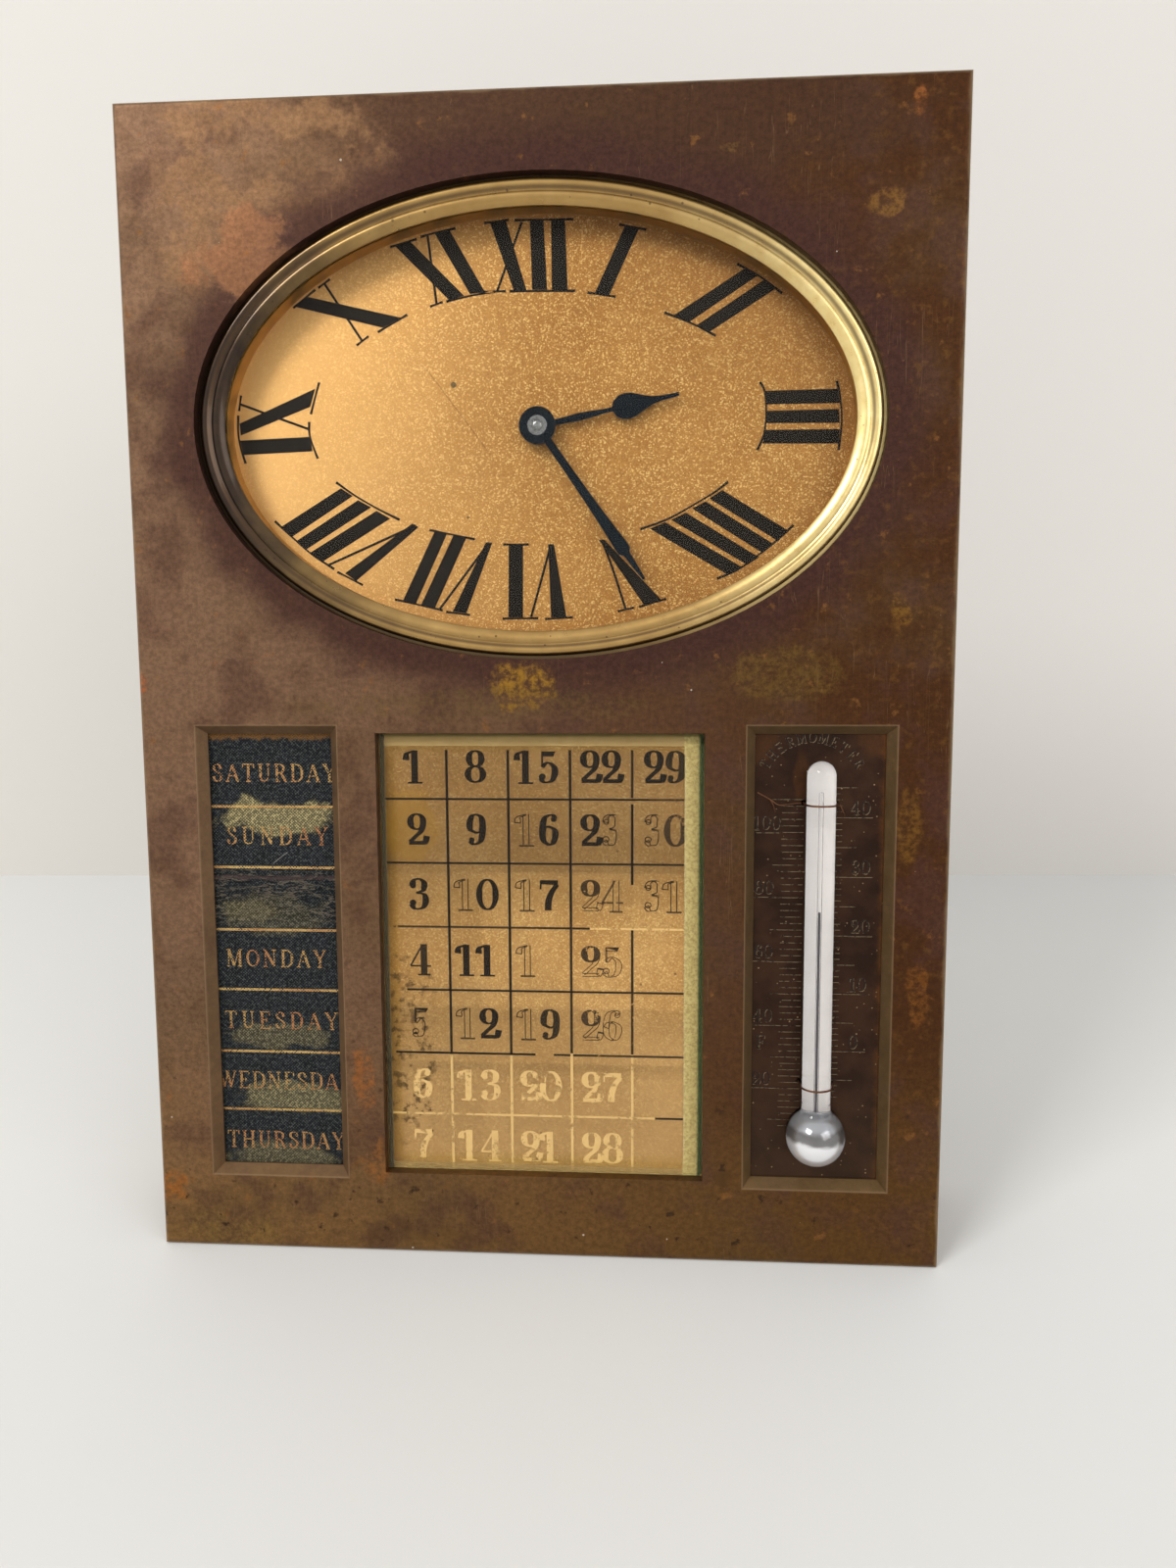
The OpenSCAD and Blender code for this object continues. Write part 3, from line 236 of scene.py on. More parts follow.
def shared(name, fill, ins, outs="Mask"):
    """Wires a fill as a shader node group, and gives a function that uses it with its values in order."""
    group = bpy.data.node_groups.new(name, "ShaderNodeTree")
    for label in ins.split():
        kind = "Vector" if label in ("Place", "Centre", "Radii", "Half") else "Float"
        group.interface.new_socket(label, in_out="INPUT", socket_type="NodeSocket" + kind)
    for label in outs.split():
        group.interface.new_socket(label, in_out="OUTPUT", socket_type="NodeSocketFloat")
    start = group.nodes.new("NodeGroupInput")
    end = group.nodes.new("NodeGroupOutput")
    made = fill(*[Field(group, start.outputs[label]) for label in ins.split()])
    for label, value in zip(outs.split(), made):
        group.links.new(value.socket, end.inputs[label])

    def use(*values, out=0):
        return wired("Group", dict(enumerate(values)), out, node_tree=group)
    return use


blotches = shared("tarnish blotches", fill_blotches, "Place Scale Level Softness")
worn_patch = shared("worn patch", fill_patch, "Place Centre Radii Ragged")
specks = shared("specks", fill_specks, "Place Scale Radius Share")
scratches = shared("hairline scratches", fill_scratches, "Place Width")
grain = shared("metal grain", fill_grain, "Place Scale", "Height")
weave = shared("book-cloth weave", fill_weave, "Place", "Height Glint")
worn_rim = shared("worn rim", fill_rim, "Place")
window_distance = shared("distance from a window", fill_window, "Place Centre Half", "Distance")
oval_distance = shared("distance from the oval", fill_oval, "Place", "Distance")


def patch(place, middle, reach, ragged, deep=50):
    return worn_patch(place, (*middle, 0), (*reach, deep), ragged)


def hairline(place, start, stop, wide):
    """A mask for one straight scratch or hair between two points in millimetres."""
    run = Vector(stop) - Vector(start)
    angle = -math.atan2(run.y, run.x)
    back = Matrix.Rotation(angle, 2) @ ((Vector(start) + Vector(stop)) / 2)
    local = mapped(place, Location=(-back.x, -back.y, 0), Rotation=(0, 0, angle))
    along, off, _ = split(vector("ABSOLUTE", local))
    return step(along, run.length * 0.35, run.length / 2, 1, 0) * step(off, wide * 0.4, wide, 1, 0)


def surface(colour, rough=None, bump=None, alpha=None, metal=None):
    """What a finish wires into its shader."""
    parts = {"Base Color": colour, "Roughness": rough, "Normal": bump, "Alpha": alpha, "Metallic": metal}
    return {name: value for name, value in parts.items() if value is not None}


def finish_of(name, build, place_of, plain):
    """A material with one Principled shader: build wires what varies, plain is the rest."""
    made = bpy.data.materials.new(name)
    made.use_nodes = True
    tree = made.node_tree
    tree.nodes.clear()
    shader = tree.nodes.new("ShaderNodeBsdfPrincipled")
    end = tree.nodes.new("ShaderNodeOutputMaterial")
    tree.links.new(shader.outputs[0], end.inputs["Surface"])
    for key, value in plain.items():
        shader.inputs[key].default_value = value
    for key, value in build(place_of(tree)).items():
        tree.links.new(value.socket, shader.inputs[key])
    return made


# ---------------------------------------------------------------- finishes
# Stains on the bronze front: middle, reach, strength and colour.
SPOTS = (
    ((-1.9, 93.4), (4.4, 3.6), 0.9, "8a6320"), ((39, 95.4), (9, 4.2), 0.34, "6f5520"),
    ((52, 164), (2.6, 1.6), 0.6, "7a5526"), ((56.4, 178), (1.2, 2.4), 0.7, "8a5228"),
    ((29.2, 172.3), (2.2, 0.9), 0.5, "6b4d28"), ((-63.6, 94.5), (1.3, 1.5), 0.9, "9a5228"),
    ((-29, 29.3), (2, 4.6), 0.8, "8a5428"), ((-26.8, 14.8), (2.2, 4.4), 0.7, "855426"),
    ((-61.5, 10.6), (2.6, 3.2), 0.8, "8f5622"), ((-52, 3), (9, 3), 0.4, "7d6230"),
    ((55.5, 105), (2.4, 3.4), 0.6, "74501c"), ((57.5, 72), (2, 7), 0.5, "74501c"),
    ((59.5, 46), (1.6, 6), 0.55, "7a4a1a"), ((29.5, 14.6), (1.6, 1.8), 0.6, "3a2712"),
    ((-8, 91), (26, 2.6), 0.3, "5c4a22"), ((-20, 3.5), (10, 2), 0.35, "4a3318"),
)
WINDOW_MIDDLES = ((-43.5, 50.15, 0), (44.1, 50.15, 0))
WINDOW_HALF = (11.5, 37.45, 0)


def bronze_front(place):
    across, up, _ = split(place)
    wander = cloud(place, 0.03, 3) * 40 - 20
    # Lighter on the left and darker to the right: painted light falling from the left, together with the
    # patina's own change of tone.
    side = step(across + wander, -64, 58)
    colour = mixed("745741", "43260f", side)
    low = step(up + wander, 2, 46, 0.8, 0)
    colour = mixed(colour, mixed("76562c", "5c3f1c", side), low)
    olive = blotches(place, 0.045, 0.56, 0.1)
    colour = mixed(colour, "554024", olive * 0.5)
    plum = blotches(place, 0.09, 0.55, 0.08)
    colour = mixed(colour, "4a2e28", plum * 0.45)
    crown = patch(place, (12, 178), (46, 14), 1.2)
    colour = mixed(colour, "432b1c", crown * 0.8)
    worn = patch(place, (-48, 168), (12, 17), 2.6)
    worn = worn.most(patch(place, (-33, 172.5), (13, 8), 2.6))
    island = blotches(place, 0.13, 0.52, 0.06)
    border = cloud(place, 0.16, 4) * 9 + across
    worn = worn * (island * -0.85 + 1) * step(border, -57, -49.5, 0.22, 1)
    colour = mixed(colour, mixed("6a4c33", "8f6b4a", cloud(place, 0.3, 5)), worn * 0.85)
    glow = patch(place, (-44, 159.5), (8, 6.5), 3.2)
    colour = mixed(colour, mixed("7a5135", "976544", cloud(place, 0.35, 5)), glow * 0.7)
    near = cloud(place, 0.12, 4) * 8 + (oval_distance(place) - 4)
    halo = step(near, 1.5, 9.5, 0.9, 0) * (glow * -0.7 + 1)
    colour = mixed(colour, "3f261f", halo)
    broken = step(cloud(place, 0.55, 6, 0.7), 0.4, 0.6, 0.15, 1)
    for middle, reach, share, shade in SPOTS:
        colour = mixed(colour, shade, patch(place, middle, reach, 2.8, deep=4) * (broken * share))
    fleck = blotches(place, 0.28, 0.66, 0.04)
    colour = mixed(colour, "7d5228", fleck * 0.55)
    crumbs = blotches(place, 0.5, 0.6, 0.07)
    colour = mixed(colour, "714d1f", crumbs * step(across + wander, 36, 62, 0.08, 0.3))
    spot = blotches(place, 0.4, 0.65, 0.04)
    colour = mixed(colour, "2c1d12", spot * step(up, 5, 60, 0.8, 0.2))
    fine = step(cloud(place, 1.1, 6, 0.75), 0.34, 0.66, 0.78, 1.2)
    colour = mixed(colour, wired("CombineColor", {0: fine, 1: fine, 2: fine}), 1, "MULTIPLY")
    day, heat = (window_distance(place, middle, WINDOW_HALF) for middle in WINDOW_MIDDLES)
    bevel = day.least(heat)
    slope = mixed(mixed("5d4533", "5d4d2f", step(across, -20, 20)), "866c4c", cloud(place, 0.5, 4))
    colour = mixed(colour, slope, step(bevel, -0.08, 0.12, 0.6, 0))
    colour = mixed(colour, "93785a", step(abs(bevel), 0, 0.22, 0.45, 0))
    colour = mixed(colour, "a58a66", worn_rim(place) * 0.55)
    colour = mixed(colour, "8c6c4c", scratches(place, 0.006) * 0.25)
    dust = specks(place, 0.28, 0.055, 0.3)
    colour = mixed(colour, "c9bca8", dust * 0.7)
    rough = cloud(place, 0.25, 5) * 0.35 + 0.32 + dust * 0.3
    bump = raised(grain(place, 1.8), 0.35, 0.00006)
    return surface(colour, rough, bump, metal=dust * -0.62 + 0.62)


def bronze_sheet(place):
    base = blotches(place, 0.06, 0.52, 0.15)
    colour = mixed("4a3424", "664a30", base)
    bloom = blotches(place, 0.17, 0.6, 0.06)
    colour = mixed(colour, "7d5a34", bloom * 0.5)
    colour = mixed(colour, "9c7c55", scratches(place, 0.012) * 0.5)
    bump = raised(grain(place, 2.2), 0.3, 0.00005)
    return surface(colour, cloud(place, 0.3, 4) * 0.3 + 0.33, bump)


def polished_bezel(place):
    """Brass rolled round the glass: pale and bright on the right, a painted highlight; dark brown on the
    left, painted shade.
    """
    across = split(place)[0]
    far = oval_distance(place)
    wander = cloud(place, 0.1, 4) * 24 + (across - 12)
    gold = mixed("8f6c36", "b8965a", cloud(place, 0.25, 4))
    painted_shade_brown = mixed("1c120b", "3b2918", cloud(place, 0.5, 4))
    pale = mixed("d8b56a", "f4e2a4", cloud(place, 0.6, 4))
    # Painted shade: dark brown on the left; painted highlight: pale gold on the right.
    colour = mixed(painted_shade_brown, gold, step(wander, -50, -12))
    colour = mixed(colour, pale, step(wander, 18, 50))
    colour = mixed(colour, "4a3420", step(abs(far + 2), 0, 0.5, 0.7, 0))
    # A dark line along the outer lip, strongest on the left: painted shade in the gap under the edge of the
    # case's opening.
    outer = step(far, -1.1, -0.7, 0, 0.75) * step(across, 0, 40, 1, 0.08)
    colour = mixed(colour, "3a2c1a", outer)
    pit = specks(place, 0.8, 0.18, 0.25)
    colour = mixed(colour, "2c1a0e", pit * 0.6)
    return surface(colour, cloud(place, 0.6, 4) * 0.22 + 0.2, raised(cloud(place, 0.8, 3), 0.2, 0.00008))


def dark_brass(place):
    colour = mixed("8a6429", "c39a50", cloud(place, 0.4, 5))
    bump = raised(grain(place, 1.4), 0.25, 0.00004)
    return surface(colour, cloud(place, 0.9, 3) * 0.25 + 0.3, bump)


def gilt(place, light, deep, shade):
    """Matt gilding with a fine sparkle of facets, painted in as bright glints and darker shaded cells."""
    colour = mixed(light, deep, step(cloud(place, 0.05, 5), 0.3, 0.7))
    colour = mixed(colour, shade, step(cloud(place, 0.7, 4, 0.6), 0.35, 0.7, 0, 0.22))
    glint = scatter(place, 5.2)[1]
    # Painted glints on the bright cells, painted shade on the dark cells.
    colour = mixed(colour, "f5d590", step(glint, 0.72, 1) * 0.42)
    return mixed(colour, shade, step(glint, 0, 0.45, 0.28, 0)), glint


def gilt_dial(place):
    colour, glint = gilt(place, "9a7039", "8c622d", "6c4616")
    across, up, _ = split(place)
    # Lighter towards the left: painted glare of the lamp.
    colour = mixed(colour, "d2a668", step(across, -56, 6, 0.8, 0))
    # Darker towards the upper right: painted shade away from the light.
    colour = mixed(colour, "6d471c", step(across * 0.7 + up, 145, 190, 0, 0.5))
    pit = specks(place, 0.2, 0.06, 0.28)
    pit = pit.most(patch(place, (-13.4, 140.8), (0.5, 0.5), 0))
    colour = mixed(colour, "3a3320", pit * 0.85)
    colour = mixed(colour, "d8b070", scratches(place, 0.004) * 0.4)
    colour = mixed(colour, "5a3c18", hairline(place, (-18.5, 144.4), (-7, 129.1), 0.14) * 0.45)
    return surface(colour, glint * -0.16 + 0.56, raised(glint, 0.2, 0.00002))


def gilt_card(place):
    colour, glint = gilt(place, "bd935a", "ad8149", "8a6033")
    across, up, _ = split(place)
    # Lighter and paler towards the bottom: a painted reflection of the table in the pane in front.
    colour = mixed(colour, "c8a06c", step(up, 18, 52, 0.5, 0))
    left = step(cloud(place, 0.3, 4) * 3 + across, -24, -20, 0.6, 0)
    colour = mixed(colour, "946530", left)
    colour = mixed(colour, "b98a2c", patch(place, (-21, 72), (5.5, 6), 2) * 0.45)
    grime = blotches(place, 0.7, 0.56, 0.05)
    colour = mixed(colour, "3f2d17", patch(place, (-22, 33), (5, 15), 3) * grime * 0.75)
    pit = specks(place, 0.55, 0.12, 0.22)
    colour = mixed(colour, "4a3218", pit * 0.7)
    return surface(colour, glint * -0.16 + 0.58, raised(glint, 0.26, 0.000015))


def worn_paint(dark, pale, keep, scale):
    """Paint or ink that has rubbed off in specks; keep is the share that is left."""
    def build(place):
        rubbed = cloud(place, scale * 0.16, 3, 0.5) * 0.45 + cloud(place, scale, 6, 0.75)
        gone = 1 - keep * 0.62
        return surface(mixed(dark, pale, cloud(place, 0.9, 4)), alpha=step(rubbed, gone - 0.02, gone))
    return build


def blued(place):
    rough = cloud(place, 1.2, 4) * 0.2 + 0.2
    return surface(mixed("05070a", "0f1b24", cloud(place, 0.5, 4)), rough,
                   raised(cloud(place, 1.2, 2), 0.12, 0.00001))


def bright_steel(place):
    rough = cloud(place, 1.5, 4) * 0.2 + 0.18
    return surface(mixed("5a5c5d", "8e9090", cloud(place, 0.6, 4)), rough)


def brass(dull, bright, rough_low):
    def build(place):
        colour = mixed(dull, bright, step(cloud(place, 0.25, 5), 0.3, 0.7))
        bloom = blotches(place, 0.5, 0.62, 0.05)
        colour = mixed(colour, "5a3d1c", bloom * 0.45)
        bump = raised(grain(place, 2.5), 0.15, 0.00003)
        return surface(colour, cloud(place, 0.9, 4) * 0.25 + rough_low, bump)
    return build


def roller_wood(place):
    drawn = mapped(place, Scale=(0.12, 1.6, 1.6))
    colour = mixed("6e4a26", "a87c4a", step(cloud(drawn, 1, 6, 0.6), 0.3, 0.7))
    return surface(colour, cloud(drawn, 1, 3) * 0.2 + 0.5, raised(cloud(drawn, 2, 4), 0.3, 0.0001))


def scale_bronze(place):
    across, up, _ = split(place)
    colour = mixed("26160c", "3a2416", step(cloud(place, 0.2, 5), 0.3, 0.7))
    rust = mixed("4a2a10", "8a5520", cloud(place, 1.5, 4))
    rim = step(cloud(place, 0.4, 4) * 2.5 + across, 54.3, 57)
    colour = mixed(colour, rust, rim * 0.85)
    spread = patch(place, (41.3, 79.5), (1.3, 4), 2)
    for middle in ((34, 85.5), (53.5, 85.5)):
        spread = spread.most(patch(place, middle, (3.5, 4), 2))
    colour = mixed(colour, rust, spread * 0.16)
    sparkle = specks(place, 1.6, 0.2, 0.3)
    colour = mixed(colour, "a58a66", sparkle * 0.7)
    colour = mixed(colour, "52402f", step(up, 14, 40, 0.2, 0))
    bump = raised(grain(place, 2.8), 0.6, 0.00009)
    return surface(colour, cloud(place, 0.9, 4) * 0.3 + 0.36, bump)


# Rubbed places on the day belt: middle and reach in millimetres along the cloth, and strength.
SCUFFS = (((1, 62.6), (8.5, 3.2), 1), ((0, 46.5), (11.5, 3.4), 0.2), ((2, 15.5), (8.5, 2.6), 0.6),
          ((-1, 4.8), (11, 3), 0.4), ((0, 26), (9, 2.2), 0.35), ((-6, 47), (5, 1.6), 0.3))


def book_cloth(place):
    height = weave(place)
    glint = weave(place, out="Glint")
    along = split(place)[1]
    tint = cloud(place, 0.35, 5, 0.6)
    colour = mixed("06080a", "101318", step(tint, 0.3, 0.7))
    colour = mixed(colour, "5f6462", glint * 0.5)
    for middle, reach, share in SCUFFS:
        rubbed = patch(place, middle, reach, 2.8) * step(glint, 0, 0.5, 0.25, 1)
        colour = mixed(colour, "b3a473", rubbed * share)
    row = step(abs(along - 49.4), 3, 5.4, 1, 0)
    drawn = mapped(place, Rotation=(0, 0, 0.12), Scale=(0.16, 0.75, 1))
    ruck = abs(cloud(drawn, 1, 4, 0.6) - 0.5)
    # Light grey along the crests of the rucks in the torn row: painted highlight on the folds.
    colour = mixed(colour, mixed("6b5a50", "7d7762", tint), step(ruck, 0, 0.028, 0.75, 0) * row)
    ragged = cloud(place, 0.7, 5, 0.7) * 2.2 - 1.1
    colour = mixed(colour, "4d3c38", step(abs(along - 52.6) + ragged, 0, 0.6, 0.7, 0))
    colour = mixed(colour, "7a5428", step(along + ragged, 75, 75.8) * 0.8)
    colour = mixed(colour, "96928a", hairline(place, (-0.4, 54.85), (2.4, 57), 0.08) * 0.6)
    return surface(colour, bump=raised(height + ruck * row * -30, 0.8, 0.00012))


def foil(pale, deep, keep):
    """Gold stamping that has stayed only on the high threads."""
    def build(place):
        height = weave(place)
        colour = mixed(pale, deep, step(cloud(place, 0.12, 3), 0.35, 0.65))
        colour = mixed(colour, "6b4226", cloud(place, 2.5, 4) * 0.5)
        left = step(height * 0.25 + cloud(place, 1.9, 6, 0.75), keep, keep + 0.08)
        return surface(colour, bump=raised(height, 0.7, 0.00008), alpha=left)
    return build


def cut_line(dark, pale, scale, low, high):
    """An engraved stroke, or the painted highlight along its lower edge, broken where it has worn."""
    def build(place):
        shown = step(cloud(place, scale, 6, 0.75), low, high)
        return surface(mixed(dark, pale, cloud(place, 1.3, 5, 0.7)), alpha=shown)
    return build


def bevel_haze(place):
    """The bevelled rim of the pane with its reflections and shade painted in: pale along the top,
    yellow-green at the right, grey at the left.
    """
    across, up, _ = split(place)
    right = step(across, 22.9, 23.1)
    left = step(across, -24.9, -24.7, 1, 0)
    yellow = mixed("ac9664", "d6c48c", step(cloud(place, 2.4, 4, 0.7), 0.35, 0.65))
    yellow = mixed(yellow, "48583c", step(across, 25, 25.6))
    colour = mixed(mixed("a88a5c", "c2a578", cloud(place, 0.5, 5)), yellow, right)
    colour = mixed(colour, "5c5143", left)
    colour = mixed(colour, "6c6243", step(up, 85.5, 86) * 0.5)
    shown = (step(up, 84.1, 84.2) * 0.72).most(right * 0.62).most(left * 0.75)
    return surface(colour, alpha=shown.most(step(up, 15.2, 15, 0, 0.35)))


def clouded(dark, pale, scale, detail):
    def build(place):
        return surface(mixed(dark, pale, cloud(place, scale, detail)))
    return build


def quicksilver(place):
    """Mercury in the bulb with its reflections painted in: bright below, a dark band over the middle, grey
    above.
    """
    up = cloud(place, 0.4, 3) * 1.6 + split(place)[1]
    colour = mixed("f2f2f4", "9c9da0", step(up, 22.6, 25.2))
    return surface(mixed(colour, "4c4643", step(abs(up - 23.7), 0.5, 1.4, 0.85, 0)))


def lit_through(place):
    """Lets shadows pass through glass."""
    return 1 - wired("LightPath", {}, "Is Shadow Ray", place.tree)


def clear(tint, smear):
    """Glass, with a trace of grime in its roughness."""
    def build(place):
        rough = step(cloud(place, 0.06, 4), 0.5, 0.8, 0, smear)
        return surface(mixed("ffffff", tint, cloud(place, 0.08, 3) * 0.3), rough, alpha=lit_through(place))
    return build


def pane_glass(place):
    """Bevelled glass: clear in the middle, yellow-green in the thickness of its bevelled rim."""
    across, up, _ = split(place)
    near = (26.1 - abs(across - 0.2)).least(36.3 - abs(up - 50.1))
    colour = mixed("fdfdf8", "f0eebb", step(near, 2.7, 3.1, 0.55, 0))
    colour = mixed(colour, "6f8a5c", step(near, 0.1, 1, 1, 0) * 0.7)
    return surface(colour, step(cloud(place, 0.1, 4), 0.5, 0.8, 0, 0.02), alpha=lit_through(place))


DULL = {"Specular IOR Level": 0.2}
INK = {"Roughness": 0.65, "Specular IOR Level": 0.06}
RUBBED_GOLD = {"Metallic": 0.5, "Roughness": 0.5}
BRIGHT_LINE = {"Metallic": 0.5, "Roughness": 0.45}
GLASS = {"Transmission Weight": 1, "Specular IOR Level": 0.07}
# How each finish is built, the place it reads, its plain values, and the CAD nodes that wear it.
FINISHES = {
    "cast_bronze": (bronze_front, on_front, DULL, "front_case"),
    "sheet_bronze": (bronze_sheet, in_mm, {"Metallic": 0.7}, "rear_cover strut hinge_bracket date_tray"),
    "bezel_brass": (polished_bezel, on_front, {"Metallic": 0.9, "Coat Weight": 0.35, "Coat Roughness": 0.1},
                    "oval_bezel"),
    "sight_brass": (dark_brass, on_front, {"Metallic": 0.85}, "sight_ring"),
    "gilt_dial": (gilt_dial, on_front, {"Metallic": 0.6, **DULL}, "dial"),
    "gilt_card": (gilt_card, on_front, {"Metallic": 0.45, **DULL}, "date_card"),
    "numeral_black": (worn_paint("100d0a", "1c1610", 0.98, 2.2), on_front, INK, ""),
    "ink_full": (worn_paint("17130f", "2a2118", 0.86, 2), on_front, INK, ""),
    "ink_worn": (worn_paint("1d1711", "3a2d1d", 0.74, 1.6), on_front, INK, ""),
    "ink_thin": (worn_paint("2c2117", "4a3825", 0.62, 1.4), on_front, INK, ""),
    "ghost_gilt": (worn_paint("d0aa6c", "dcb97c", 0.56, 1.1), on_front, RUBBED_GOLD, ""),
    "blued_steel": (blued, in_mm, {"Metallic": 0.85}, "hour_hand minute_hand"),
    "pin_steel": (bright_steel, in_mm, {"Metallic": 1}, ""),
    "belt_cloth": (book_cloth, on_cloth, {"Roughness": 0.7, **DULL}, "day_belt"),
    "gold_foil": (foil("bb995e", "b0774c", 0.545), on_front, RUBBED_GOLD, ""),
    "gold_rule": (foil("d2b06c", "b98a52", 0.5), on_front, BRIGHT_LINE, ""),
    "roller_wood": (roller_wood, in_mm, {}, "upper_roller lower_roller"),
    "scale_bronze": (scale_bronze, on_front, {"Metallic": 0.55, **DULL}, "scale_plate"),
    "engraving": (cut_line("120a06", "2a1a10", 1.7, 0.36, 0.42), on_front, {"Roughness": 0.6, **DULL}, ""),
    "burr": (cut_line("58462f", "98825f", 1.4, 0.43, 0.51), on_front, BRIGHT_LINE, ""),
    "bevel_haze": (bevel_haze, on_front, {"Roughness": 0.5, **DULL}, ""),
    "copper_wire": (clouded("3a241a", "8a5c40", 1.2, 4), in_mm, {"Metallic": 0.9, "Roughness": 0.35},
                    "tube_wires"),
    "mercury": (clouded("262228", "3c373f", 0.6, 3), in_mm, {"Metallic": 0.3, "Roughness": 0.3}, "mercury"),
    "mercury_bulb": (quicksilver, on_front, {"Metallic": 0.6, "Roughness": 0.12}, ""),
    "tube_white": (clouded("b0aaa6", "bdb7b3", 0.2, 3), in_mm, {"Roughness": 0.3}, ""),
    "clear_glass": (clear("fff6e0", 0.02), on_front, {"IOR": 1.15, **GLASS}, "dial_glass"),
    "tube_glass": (clear("f4f6f6", 0.01), on_front, {"IOR": 1.3, "Transmission Weight": 1},
                   "thermometer_tube"),
    "pane_glass": (pane_glass, on_front, {"IOR": 1.17, **GLASS}, "date_pane"),
    "fitting_brass": (brass("80602c", "b48f4c", 0.2), in_mm, {"Metallic": 0.9},
                      "upper_axle lower_axle roller_frame thumbwheel winding_key setting_knob cover_screws"
                      " hinge_pin"),
    "movement_brass": (brass("ab8540", "d2ac5e", 0.14), in_mm, {"Metallic": 0.95},
                       "movement_front_plate movement_back_plate barrel barrel_cover centre_wheel"
                       " minute_wheel hour_wheel third_wheel fourth_wheel escape_wheel balance"
                       " movement_straps pillars"),
    "movement_steel": (bright_steel, in_mm, {"Metallic": 0.95},
                       "barrel_arbor ratchet_wheel click centre_arbor cannon_pinion lever strap_screws"),
    "spring_steel": (blued, in_mm, {"Metallic": 0.95}, "mainspring hairspring click_spring"),
}
FINISH = {}
for title, (maker, place_of, plain, _) in FINISHES.items():
    FINISH[title] = finish_of(title, maker, place_of, plain)


def dress_nodes():
    for title, (_, _, _, worn_by) in FINISHES.items():
        for part in worn_by.split():
            wear(bpy.data.objects[part], title)


def wear(piece, finishes):
    piece.data.materials.clear()
    for title in finishes.split():
        piece.data.materials.append(FINISH[title])


# ---------------------------------------------------------------- modelling
def alone(*pieces):
    bpy.ops.object.select_all(action="DESELECT")
    for piece in pieces:
        piece.select_set(True)
    bpy.context.view_layer.objects.active = pieces[0]


def lay(piece, place=FACE):
    """Sets a piece drawn upright in millimetres onto the leaning front, with its place in its mesh."""
    alone(piece)
    piece.matrix_world = place
    bpy.ops.object.transform_apply(location=True, rotation=True, scale=True)
    return piece


def smoothed(piece, angle):
    alone(piece)
    bpy.ops.object.shade_smooth_by_angle(angle=math.radians(angle))
    return piece


def gathered(pieces, name, finishes, body="root", stands_for=None):
    """Joins pieces into one named piece, with its finishes and the body that it rides."""
    alone(*pieces)
    if len(pieces) > 1:
        bpy.ops.object.join()
    whole = bpy.context.object
    whole.name = name
    whole.data.name = name
    wear(whole, finishes)
    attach(whole, body)
    if stands_for:
        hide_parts(stands_for)
    return whole


def drawn(lines, closed, place, **settings):
    """A curve drawn along lines, turned into a mesh and laid at a place."""
    bpy.ops.object.select_all(action="DESELECT")
    bpy.ops.curve.primitive_bezier_circle_add(radius=1, location=(0, 0, 0))
    curve = bpy.context.object.data
    curve.splines.clear()
    for key, value in settings.items():
        setattr(curve, key, value)
    for points in lines:
        line = curve.splines.new("POLY")
        line.points.add(len(points) - 1)
        line.use_cyclic_u = closed
        for point, spot in zip(line.points, points):
            point.co = (*spot, 1)
    bpy.ops.object.convert(target="MESH")
    return lay(bpy.context.object, place)


def filled(shapes, thick, place):
    """Flat outlines filled and given thickness."""
    flat = [[(x, y, 0) for x, y in shape] for shape in shapes]
    return drawn(flat, True, place, dimensions="2D", fill_mode="BOTH", extrude=thick / 2)


LAYER_GAP = 0.003


def stamped(layers, deep, thick):
    """Outlines that never cross inside one layer, filled, each layer a hair above the last."""
    made = []
    for rank, (_, shapes) in enumerate(sorted(layers.items())):
        lift = Matrix.Translation((0, 0, thick / 2 - deep + LAYER_GAP * rank))
        made.append(filled(shapes, thick, FACE @ lift))
    return made


def shifted(layers, x, y):
    return {layer: [[(px + x, py + y) for px, py in shape] for shape in shapes]
            for layer, shapes in layers.items()}


def edit_all(*steps):
    bpy.ops.object.mode_set(mode="EDIT")
    bpy.ops.mesh.select_all(action="SELECT")
    for change, settings in steps:
        change(**settings)
    bpy.ops.object.mode_set(mode="OBJECT")


def grid_piece(rings, closed_along=True, closed_round=True):
    """A grid with its rows laid along rings of points, its seams merged and its faces turned outwards."""
    rows = rings + [rings[0]] if closed_along else rings
    rows = [row + [row[0]] if closed_round else row for row in rows]
    bpy.ops.object.select_all(action="DESELECT")
    bpy.ops.mesh.primitive_grid_add(x_subdivisions=len(rows[0]) - 1, y_subdivisions=len(rows) - 1, size=1)
    piece = bpy.context.object
    piece.data.vertices.foreach_set("co", [value for row in rows for point in row for value in point])
    piece.data.update()
    edit_all((bpy.ops.mesh.remove_doubles, {"threshold": 1e-5}),
             (bpy.ops.mesh.normals_make_consistent, {"inside": False}))
    return piece


def around(x, y, wide, high, count):
    """Points round an oval."""
    turn = [2 * math.pi * i / count for i in range(count)]
    return [(x + wide * math.cos(angle), y + high * math.sin(angle)) for angle in turn]


def turned(profile, middle, steps):
    """A piece turned on the lathe: profile is (radius, height) from bottom to top, round an upright axis."""
    rings = [[(x, high, out) for x, out in around(*middle, radius, radius, steps)]
             for radius, high in profile]
    return grid_piece(rings, closed_along=False)


